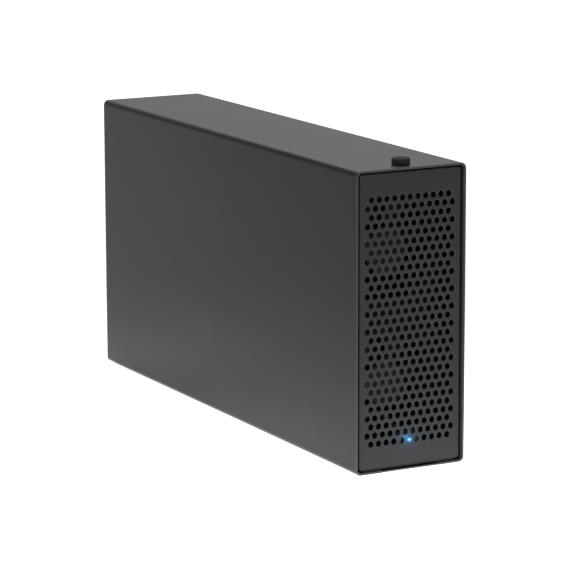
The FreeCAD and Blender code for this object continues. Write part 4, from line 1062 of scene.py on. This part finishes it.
# Fans
class ChassisFans(bpy.types.Operator):
    """Fans behind the grille and in the power supply"""

    bl_idname = "chassis.fans"
    bl_label = "Fans"

    LABEL_RADIUS = 12.6 * MM
    TIP_GAP = 1.3 * MM
    SCREW_HOLE_RADIUS = 2.15 * MM
    STRUT_HALF = 2 * MM
    SPARE = 2 * MM
    # Depth of the hub, number of blades and chord of a blade
    WHEEL = (18.8 * MM, 7, 20 * MM)
    SUPPLY_WHEEL = (10 * MM, 5, 9 * MM)
    SUPPLY_TIP = 17.3 * MM
    SHAFT = 1.5 * MM
    SHAFT_REACH = 4 * MM
    BLADE_ROOT = 1.5 * MM
    BLADE_PITCH = math.radians(38)
    BLADE_ROWS = 7
    BLADE_COLUMNS = 8

    def execute(self, context):
        tone = coloured()
        size = sized()
        plastic = material("fan_plastic", moulded(tone.fan, 0.45))
        for place in ("upper", "lower"):
            self.add_frame(place + "_fan_frame", "fan_frame_" + place, size, plastic)
            rotor = "fan_rotor_" + place
            face = Vector((0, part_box(rotor)[0].y, middle_of(rotor).z))
            made = material(place + "_fan_plastic", labelled(tone.fan, tone.label, face, self.LABEL_RADIUS))
            tip = size.fan_bore / 2 - self.TIP_GAP
            wheel = self.wheel(place + "_fan_wheel", face, 1, size.fan_hub / 2, tip, self.WHEEL, made)
            dressed(wheel, place + "_fan", "fan_plastic", made, rotor)
        guard = middle_of("psu_fan_guard")
        face = Vector((guard.x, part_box("psu_fan_rotor")[1].y, guard.z))
        wheel = self.wheel("supply_fan_wheel", face, -1, size.supply_hub / 2, self.SUPPLY_TIP,
                           self.SUPPLY_WHEEL, plastic)
        dressed(wheel, "supply_fan", "fan_plastic", plastic, "psu_fan_rotor")
        return {"FINISHED"}

    def add_frame(self, name, node, size, made):
        """Square frame with a round bore, four screw holes, and the plate and struts that carry the hub."""
        low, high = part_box(node)
        middle_z = middle_of(node).z
        outline = rounded_outline(high.x, low.z, high.z, size.fan_corner, 6)
        carrier = add_object(name + "_carrier", prism_mesh(name, outline, low.y, high.y))

        ways = (-size.fan_mount, size.fan_mount)
        holes = [("bore", size.fan_bore / 2, 96, 0, middle_z)]
        holes += [("screw_hole", self.SCREW_HOLE_RADIUS, 20, x, middle_z + z) for x in ways for z in ways]
        start = low.y - self.SPARE
        through = high.y + self.SPARE - start
        drills = [rod(label, radius, through, sides, (x, start, z), (0, 1, 0))
                  for label, radius, sides, x, z in holes]
        combined(carrier, "DIFFERENCE", drills)
        base = size.fan_base
        front = high.y - base
        radius = size.fan_hub / 2
        chamfer = 0.6 * MM
        plate = [(0, 0), (radius - chamfer, 0), (radius, chamfer), (radius, base), (0, base)]
        parts = [add_object("plate", spun("plate", plate, 64, (0, front, middle_z), (0, 1, 0)))]
        for quarter in range(4):
            strut = box_mesh("strut", (0.5 * radius, front, -self.STRUT_HALF),
                             (size.fan_bore / 2 + MM, high.y, self.STRUT_HALF))
            strut.transform(Matrix.Rotation(math.radians(45 + 90 * quarter), 4, "Y"))
            strut.transform(Matrix.Translation((0, 0, middle_z)))
            parts.append(add_object("strut", strut))
        combined(carrier, "UNION", parts)
        bevelled(carrier, ROUND_EDGE, 2, 35.0)
        frame_piece = evaluated(carrier, name)
        removed(*drills, *parts)
        dressed(frame_piece, "sled", "fan_plastic", made, node)

    def wheel(self, name, face, side, hub, tip, form, made):
        """Hub with its shaft, and a ring of blades; side is 1 for a hub that faces the front, -1 the rear."""
        depth, blades, chord = form
        dish = 0.3 * MM
        end = depth + self.SHAFT_REACH
        profile = [(0, dish), (hub - 4.6 * MM, dish), (hub - 4.2 * MM, 0), (hub - 1.2 * MM, 0),
                   (hub - 0.4 * MM, 0.4 * MM), (hub, 1.2 * MM), (hub, depth), (self.SHAFT, depth),
                   (self.SHAFT, end), (0, end)]
        boss = smoothed(add_object(name + "_hub", spun(name + "_hub", profile, 72, face, (0, side, 0))), 30.0)
        growth = Growth(name, {"Blades": blades, "Middle X": face.x, "Middle Y": face.y + side * depth / 2,
                               "Middle Z": face.z, "Material": made})
        add = growth.nodes.add
        given = growth.inputs
        line = add("GeometryNodeMeshLine", inputs={"Count": given["Blades"], "Offset": (0, 0, 0)})
        angle = add("GeometryNodeInputIndex") * (2 * math.pi) / given["Blades"]
        turn = add("ShaderNodeCombineXYZ", inputs={"Y": angle})
        ring = add("GeometryNodeInstanceOnPoints",
                   inputs={"Points": line, "Instance": given["Geometry"], "Rotation": turn})
        place = add("ShaderNodeCombineXYZ", inputs={axis: given["Middle " + axis] for axis in "XYZ"})
        moved = add("GeometryNodeTransform", inputs={"Geometry": ring, "Translation": place})
        start = self.blade(name + "_blade", hub - self.BLADE_ROOT, tip, chord)
        if side < 0:
            start.transform(Matrix.Rotation(math.pi, 4, "Z"))
        ring_piece = smoothed(growth.grow(name + "_blades", moved, start), 50.0)
        return joined(name, boss, ring_piece)

    def blade(self, name, root, tip, chord):
        """Bent, swept blade standing on the +X radius, each section on a cylinder round the axis."""
        sine, cosine = math.sin(self.BLADE_PITCH), math.cos(self.BLADE_PITCH)
        rings = []
        for i in range(self.BLADE_ROWS + 1):
            share = i / self.BLADE_ROWS
            radius = root + (tip - root) * share
            width = chord * (0.75 + 0.25 * share)
            sweep = 0.3 * chord * share
            front = []
            back = []
            for j in range(self.BLADE_COLUMNS + 1):
                along = j / self.BLADE_COLUMNS - 0.5
                bend = 0.12 * width * (1 - 4 * along * along)
                thick = 0.07 * chord * (1.0 - 2.6 * along * along)
                for side, lift in ((front, bend), (back, bend + thick)):
                    z = sweep + along * width * cosine - lift * sine
                    side.append((math.sqrt(radius * radius - z * z), along * width * sine + lift * cosine, z))
            rings.append(front + back[::-1])
        points, faces, loops = looped(rings)
        faces += [tuple(loops[0]), tuple(loops[-1][::-1])]

        def outwards(work):
            bmesh.ops.recalc_face_normals(work, faces=work.faces)

        return reworked(name, [mesh_of(name, points, faces)], outwards)


# Boards and power supply
class ChassisBoards(bpy.types.Operator):
    """Backplane, interface card and what stands on them"""

    bl_idname = "chassis.boards"
    bl_label = "Boards"

    SLOTS = ("card_slot_1", "card_slot_2", "card_slot_3", "interface_slot")
    SLOT_END = 3.5 * MM
    KEY_PLACE = 17.9 * MM
    KEY_REACH = 1.4 * MM
    CONTACT_ASIDE = 0.75 * MM
    CONTACT_SUNK = 4.6 * MM
    CONTACT_LOW = (-0.14 * MM, -0.3 * MM, -3 * MM)
    CONTACT_HIGH = (0.14 * MM, 0.3 * MM, 3.6 * MM)
    # Sizes and places of the cans and small parts, in millimetres
    CAN = ((0, 0), (3.0, 0), (3.15, 0.3), (3.15, 1.0), (2.95, 1.3), (3.15, 1.6), (3.15, 7.4), (2.9, 7.7),
           (2.5, 7.5), (0, 7.5))
    CAN_BARE = 7.3
    CAN_COLUMNS = (-22, -10, 2, 14, 26)
    CAN_ROWS = (66, 80)
    BOARD_AREAS = ((-5, 36, -3, 15), (-36, 36, 152, 183), (-29, -21, 94, 145), (-9, -1, 94, 145),
                   (11, 19, 94, 145), (-28, 34, 90, 92))
    CARD_AREAS = ((58, 105, 74, 149), (150, 184, 116, 149), (108, 148, 130, 149))
    PART = (1.6, 0.8, 0.6)

    def execute(self, context):
        tone = coloured()
        painted(material("board_green", circuit(tone.board, tone.gold)), "backplane_board", "interface_card",
                "led_board")
        black = material("connector_black", moulded(tone.plastic, 0.4))
        gold = material("contact_gold", plated(tone.gold, 0.22))
        for number, node in enumerate(self.SLOTS):
            refined("slot_%d" % (number + 1), "sled", "connector_black", black, [node], SLOT_EDGE)
        refined("power_socket", "sled", "connector_black", black, ["power_header"])
        chip = material("chip_black", moulded(tone.plastic, 0.55))
        painted(chip, "interface_chip", "bridge_chip")
        fins = material("heatsink_aluminium", plated(tone.aluminium))
        refined("card_fins", "sled", "heatsink_aluminium", fins, ["interface_heatsink"], THIN_EDGE)
        refined("bridge_fins", "sled", "heatsink_aluminium", fins, ["bridge_heatsink"], THIN_EDGE)
        ivory = material("connector_white", moulded(tone.ivory, 0.5))
        refined("power_plug_body", "sled", "connector_white", ivory, ["power_plug"])
        refined("lead_headers", "sled", "connector_white", ivory, ["fan_headers"])
        self.add_contacts(gold)
        self.add_cans(tone)
        self.add_parts(chip)
        return {"FINISHED"}

    def add_contacts(self, gold):
        """Sprung contacts along both walls of each slot's groove, except at its key."""
        pitch = sized().contact_pitch
        places = []
        for node in self.SLOTS:
            low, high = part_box(node)
            middle = (low.x + high.x) / 2
            for i in range(int((high.y - low.y - 2 * self.SLOT_END) / pitch)):
                y = high.y - self.SLOT_END - i * pitch
                if abs(high.y - self.KEY_PLACE - y) > self.KEY_REACH:
                    places += [(middle + x, y, high.z - self.CONTACT_SUNK)
                               for x in (-self.CONTACT_ASIDE, self.CONTACT_ASIDE)]
        leaf = box_mesh("contact", self.CONTACT_LOW, self.CONTACT_HIGH)
        dressed(copied("slot_contacts", leaf, places, gold), "sled", "pin_brass", None)

    def add_cans(self, tone):
        """Two rows of cans on the backplane."""
        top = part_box("backplane_board")[1].z
        profile = [(radius * MM, height * MM) for radius, height in self.CAN]
        shape = smooth_mesh(spun("can", profile, 28, (0, 0, 0), (0, 0, 1)))
        places = [(x * MM, y * MM, top) for y in self.CAN_ROWS for x in self.CAN_COLUMNS]
        made = material("can_finish", capped(tone.black, tone.aluminium, top + self.CAN_BARE * MM))
        dressed(copied("cans", shape, places, made), "sled", "chip_black", None)

    def add_parts(self, chip):
        """Small parts that lie on the backplane, and that stand on the interface card."""
        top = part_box("backplane_board")[1].z
        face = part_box("interface_card")[1].x
        length, width, height = self.PART
        for name, areas, spacing, half, lifted in (
                ("board", self.BOARD_AREAS, 4 * MM, (length, width, height), lambda u, v: (u, v, top)),
                ("card", self.CARD_AREAS, 5 * MM, (height, length, width), lambda u, v: (face, u, v))):
            corners = [[lifted(u * MM, v * MM) for u, v in ((u0, v0), (u1, v0), (u1, v1), (u0, v1))]
                       for u0, u1, v0, v1 in areas]
            parts = strewn(name + "_parts", self.small_part(name + "_part", half), corners, spacing, chip)
            dressed(parts, "sled", "chip_black", None)

    def small_part(self, name, half):
        """Block with broken edges, given by half its size, sunk by half into what carries it."""
        reach = Vector(half) * MM
        carrier = add_object(name + "_carrier", box_mesh(name, -reach, reach))
        bevelled(carrier, PART_EDGE, 1)
        return final_mesh(carrier, name)


class ChassisSupply(bpy.types.Operator):
    """Power supply with its inlet, fan guard and screws"""

    bl_idname = "chassis.supply"
    bl_label = "Power supply"

    GUARD_SCREW_REACH = 14.6 * MM
    GUARD_SCREW_HEIGHT = 0.95 * MM

    def execute(self, context):
        tone = coloured()
        sheet = material("psu_sheet", plated(tone.zinc, 0.4))
        black = material("inlet_black", moulded(tone.plastic, 0.35))
        pins = material("pin_brass", plated(tone.nickel, 0.25))
        nickel = material("bracket_nickel", plated(tone.nickel, 0.28))
        refined("supply_case", "sled", "psu_sheet", sheet, ["psu_case"], SOFT_EDGE)
        refined("mains_inlet", "sled", "connector_black", black, ["psu_inlet"])
        refined("mains_pins", "sled", "pin_brass", pins, ["inlet_pins"], ROUND_EDGE)
        refined("fan_guard", "sled", "zinc_sheet", nickel, ["psu_fan_guard"], ROUND_EDGE)
        middle = middle_of("psu_fan_guard")
        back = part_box("psu_fan_guard")[1].y
        ways = (-self.GUARD_SCREW_REACH, self.GUARD_SCREW_REACH)
        corners = [(middle.x + x, back, middle.z + z) for x in ways for z in ways]
        screws = copied("guard_screws", screw_head((0, 1, 0), self.GUARD_SCREW_HEIGHT), corners, nickel)
        dressed(screws, "sled", "bracket_nickel", None)
        return {"FINISHED"}


class ChassisLeads(bpy.types.Operator):
    """Leads of the light and the fans, and the sleeved leads of the power supply"""

    bl_idname = "chassis.leads"
    bl_label = "Leads"

    # Routes in millimetres
    LIGHT_ROUTE = ((0, -202.7, 23.6), (0, -190.7, 25), (-9, -190.7, 40), (-26, -190.7, 44),
                   (-34.45, -190.7, 8.3), (-34.45, -159.7, 8.3), (-34.45, -107, 8.3), (-34.45, -54.5, 8.3),
                   (-34.45, -54.5, 60.9), (-34.45, -12.9, 60.9))
    # How far the red lead lies from each point of the route, across and up; the black one lies opposite
    LIGHT_ASIDE = ((0.9, 0),) + ((0.9, 0.575),) * 3 + ((0.9, 0),) * 6
    UPPER_FAN_ROUTE = ((27, -151.4, 120.79), (27, -151.4, 46.9), (27, -151.4, 6.9), (27, -111.4, 6.9),
                       (27, -94.5, 6.9), (27, -54.5, 6.9), (27, -54.5, 60.9), (27, -12.9, 60.9))
    LOWER_FAN_ROUTE = ((13, -151.4, 20.81), (13, -151.4, 6.9), (13, -111.4, 6.9), (13, -94.5, 6.9),
                       (13, -54.5, 6.9), (13, -54.5, 60.9), (13, -12.9, 60.9))
    POWER_ROUTE = ((-19.95, -28.9, 62.4), (-19.95, -63.05, 62.4), (-19.95, -63.05, 30.1), (-19.95, -31, 30.1),
                   (-19.95, 59.3, 30.1))

    def execute(self, context):
        tone = coloured()
        size = sized()
        pair = []
        for name, way, made in (("light_lead_red", 1, material("lead_red", moulded(tone.red, 0.4))),
                                ("light_lead_black", -1, material("lead_black", moulded(tone.black, 0.45)))):
            route = [(x + way * aside, y, z + way * up)
                     for (x, y, z), (aside, up) in zip(self.LIGHT_ROUTE, self.LIGHT_ASIDE)]
            pair.append(self.tube(name, route, size.lead, made))
        dressed(pair[0], "sled", "lead_red", None, "led_lead")
        dressed(pair[1], "sled", "lead_black", None)
        sleeve = material("lead_sleeve", braided(tone.black))
        for name, route, diameter, node in (
                ("upper_fan_lead", self.UPPER_FAN_ROUTE, size.lead, "fan_lead_upper"),
                ("lower_fan_lead", self.LOWER_FAN_ROUTE, size.lead, "fan_lead_lower"),
                ("power_leads", self.POWER_ROUTE, size.harness, "power_harness")):
            dressed(self.tube(name, route, diameter, sleeve), "sled", "lead_black", None, node)
        return {"FINISHED"}

    def tube(self, name, route, diameter, made):
        """Round lead along a smooth line that has the route's points as its control points."""
        data = bpy.data.curves.new(name, "CURVE")
        data.dimensions = "3D"
        data.bevel_depth = diameter / 2
        data.bevel_resolution = 4
        data.resolution_u = 16
        data.use_fill_caps = True
        line = data.splines.new("NURBS")
        line.points.add(len(route) - 1)
        for point, (x, y, z) in zip(line.points, route):
            point.co = (x * MM, y * MM, z * MM, 1.0)
        line.order_u = 3
        line.use_endpoint_u = True
        data.materials.append(made)
        return smoothed(evaluated(add_object(name + "_line", data), name))


# Stage
class ChassisStage(bpy.types.Operator):
    """Pale floor, soft studio light and the camera at the photograph's angle"""

    bl_idname = "chassis.stage"
    bl_label = "Stage"

    CAMERA_AZIMUTH = -28.052
    CAMERA_ELEVATION = 11.365
    CAMERA_ROLL = -0.153
    CAMERA_DISTANCE = 2067.3 * MM
    CAMERA_LENS = 187.1
    CAMERA_REACH = 100.0
    TARGET_X = -102.35 * MM
    TARGET_Z = 147.6 * MM
    FLOOR_REACH = 14.0
    FLOOR_GLOW = 0.23
    # Each further glow: its middle along Y, where its fade starts and ends, and its strength
    FLOOR_GLOWS = ((0.0, 0.1, 0.4, 0.62), (-0.18, 0.05, 0.24, 0.55), (-0.75, 0.25, 0.95, 0.2))
    FLOOR_GLOW_SCALE = (1.0, 0.7, 1.0)
    WORLD_GLOW = 0.525
    BACK_PLACE = (0.9, 1.9, 2.2)
    BACK_SIZE = 2.4
    BACK_POWER = 45.0
    SPILL_POWER = 0.0045
    SPILL_COLOUR = (0.06, 0.55, 1.0)
    SPILL_SIZE = 2 * MM
    SPILL_GAP = 5 * MM

    def execute(self, context):
        self.add_floor()
        self.add_world(context.scene)
        self.add_lights()
        self.add_camera(context.scene)
        context.scene.view_settings.view_transform = "Standard"
        return {"FINISHED"}

    def add_floor(self):
        reach = self.FLOOR_REACH
        corners = [(-reach, -reach, 0), (reach, -reach, 0), (reach, reach, 0), (-reach, reach, 0)]
        floor = add_object("floor", mesh_of("floor", corners, [(0, 1, 2, 3)]))
        floor.data.materials.append(material("floor_pale", self.lit_floor))

    def lit_floor(self, nodes):
        """White floor, lit from below round the object as a light table is."""
        glow = self.FLOOR_GLOW
        scale = self.FLOOR_GLOW_SCALE
        for middle, near, far, strength in self.FLOOR_GLOWS:
            place = nodes.add("ShaderNodeMapping", inputs={
                "Vector": place_of(nodes), "Scale": scale, "Location": (0.0, -scale[1] * middle, 0.0)})
            away = nodes.add("ShaderNodeVectorMath", {"operation": "LENGTH"}, {0: place}, "Value")
            fade = nodes.add("ShaderNodeMapRange", {"interpolation_type": "SMOOTHSTEP"},
                             {"Value": away, "From Min": far, "From Max": near})
            glow = glow + strength * fade
        return surface(nodes, base_color=0.9, roughness=0.8, specular_ior_level=0.2, emission_strength=1.0,
                       emission_color=nodes.add("ShaderNodeCombineColor", inputs={0: glow, 1: glow, 2: glow}))

    def add_world(self, scene):
        world = bpy.data.worlds.new("studio")
        world.use_nodes = True
        world.node_tree.nodes.clear()
        nodes = Nodes(world.node_tree)
        glow = nodes.add("ShaderNodeBackground", inputs={"Color": rgba(1.0), "Strength": self.WORLD_GLOW})
        nodes.add("ShaderNodeOutputWorld", inputs={"Surface": glow})
        scene.world = world

    def add_lights(self):
        """Soft lamp above and behind, pointing down, and the faint light of the lens on the panel."""
        back = bpy.data.lights.new("back", "AREA")
        back.shape = "DISK"
        back.size = self.BACK_SIZE
        back.energy = self.BACK_POWER
        add_object("back", back).location = self.BACK_PLACE
        spill = bpy.data.lights.new("light_spill", "POINT")
        spill.energy = self.SPILL_POWER
        spill.color = self.SPILL_COLOUR
        spill.shadow_soft_size = self.SPILL_SIZE
        lens = middle_of("light_pipe")
        lens.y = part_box("light_pipe")[0].y - self.SPILL_GAP
        add_object("light_spill", spill).location = lens

    def add_camera(self, scene):
        azimuth = math.radians(self.CAMERA_AZIMUTH)
        elevation = math.radians(self.CAMERA_ELEVATION)
        back = Vector((math.sin(azimuth) * math.cos(elevation), -math.cos(azimuth) * math.cos(elevation),
                       math.sin(elevation)))
        target = Vector((self.TARGET_X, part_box("outer_sleeve")[0].y, self.TARGET_Z))
        data = bpy.data.cameras.new("camera")
        data.lens = self.CAMERA_LENS
        data.clip_end = self.CAMERA_REACH
        camera = add_object("camera", data)
        turn = (-back).to_track_quat("-Z", "Y").to_matrix().to_4x4()
        roll = Matrix.Rotation(math.radians(self.CAMERA_ROLL), 4, "Z")
        camera.matrix_world = Matrix.Translation(target + back * self.CAMERA_DISTANCE) @ turn @ roll
        scene.camera = camera


# Panel and registration
OPERATORS = (ChassisSleeve, ChassisGrille, ChassisThumbscrew, ChassisLight, ChassisSled, ChassisFans,
             ChassisBoards, ChassisSupply, ChassisLeads, ChassisStage)


class ChassisPanel(bpy.types.Panel):
    """Lists the chassis's pieces in the sidebar"""

    bl_idname = "VIEW3D_PT_chassis"
    bl_label = "Card chassis"
    bl_space_type = "VIEW_3D"
    bl_region_type = "UI"
    bl_category = "Chassis"

    def draw(self, context):
        for operator in OPERATORS:
            self.layout.operator(operator.bl_idname)


CLASSES = (ChassisSizes, ChassisColours) + OPERATORS + (ChassisPanel,)


def register():
    for cls in CLASSES:
        bpy.utils.register_class(cls)
    bpy.types.Scene.chassis_sizes = PointerProperty(type=ChassisSizes)
    bpy.types.Scene.chassis_colours = PointerProperty(type=ChassisColours)


def unregister():
    del bpy.types.Scene.chassis_colours
    del bpy.types.Scene.chassis_sizes
    for cls in reversed(CLASSES):
        bpy.utils.unregister_class(cls)


def main():
    register()
    for operator in OPERATORS:
        group, name = operator.bl_idname.split(".")
        getattr(getattr(bpy.ops, group), name)()


if __name__ == "__main__":
    main()
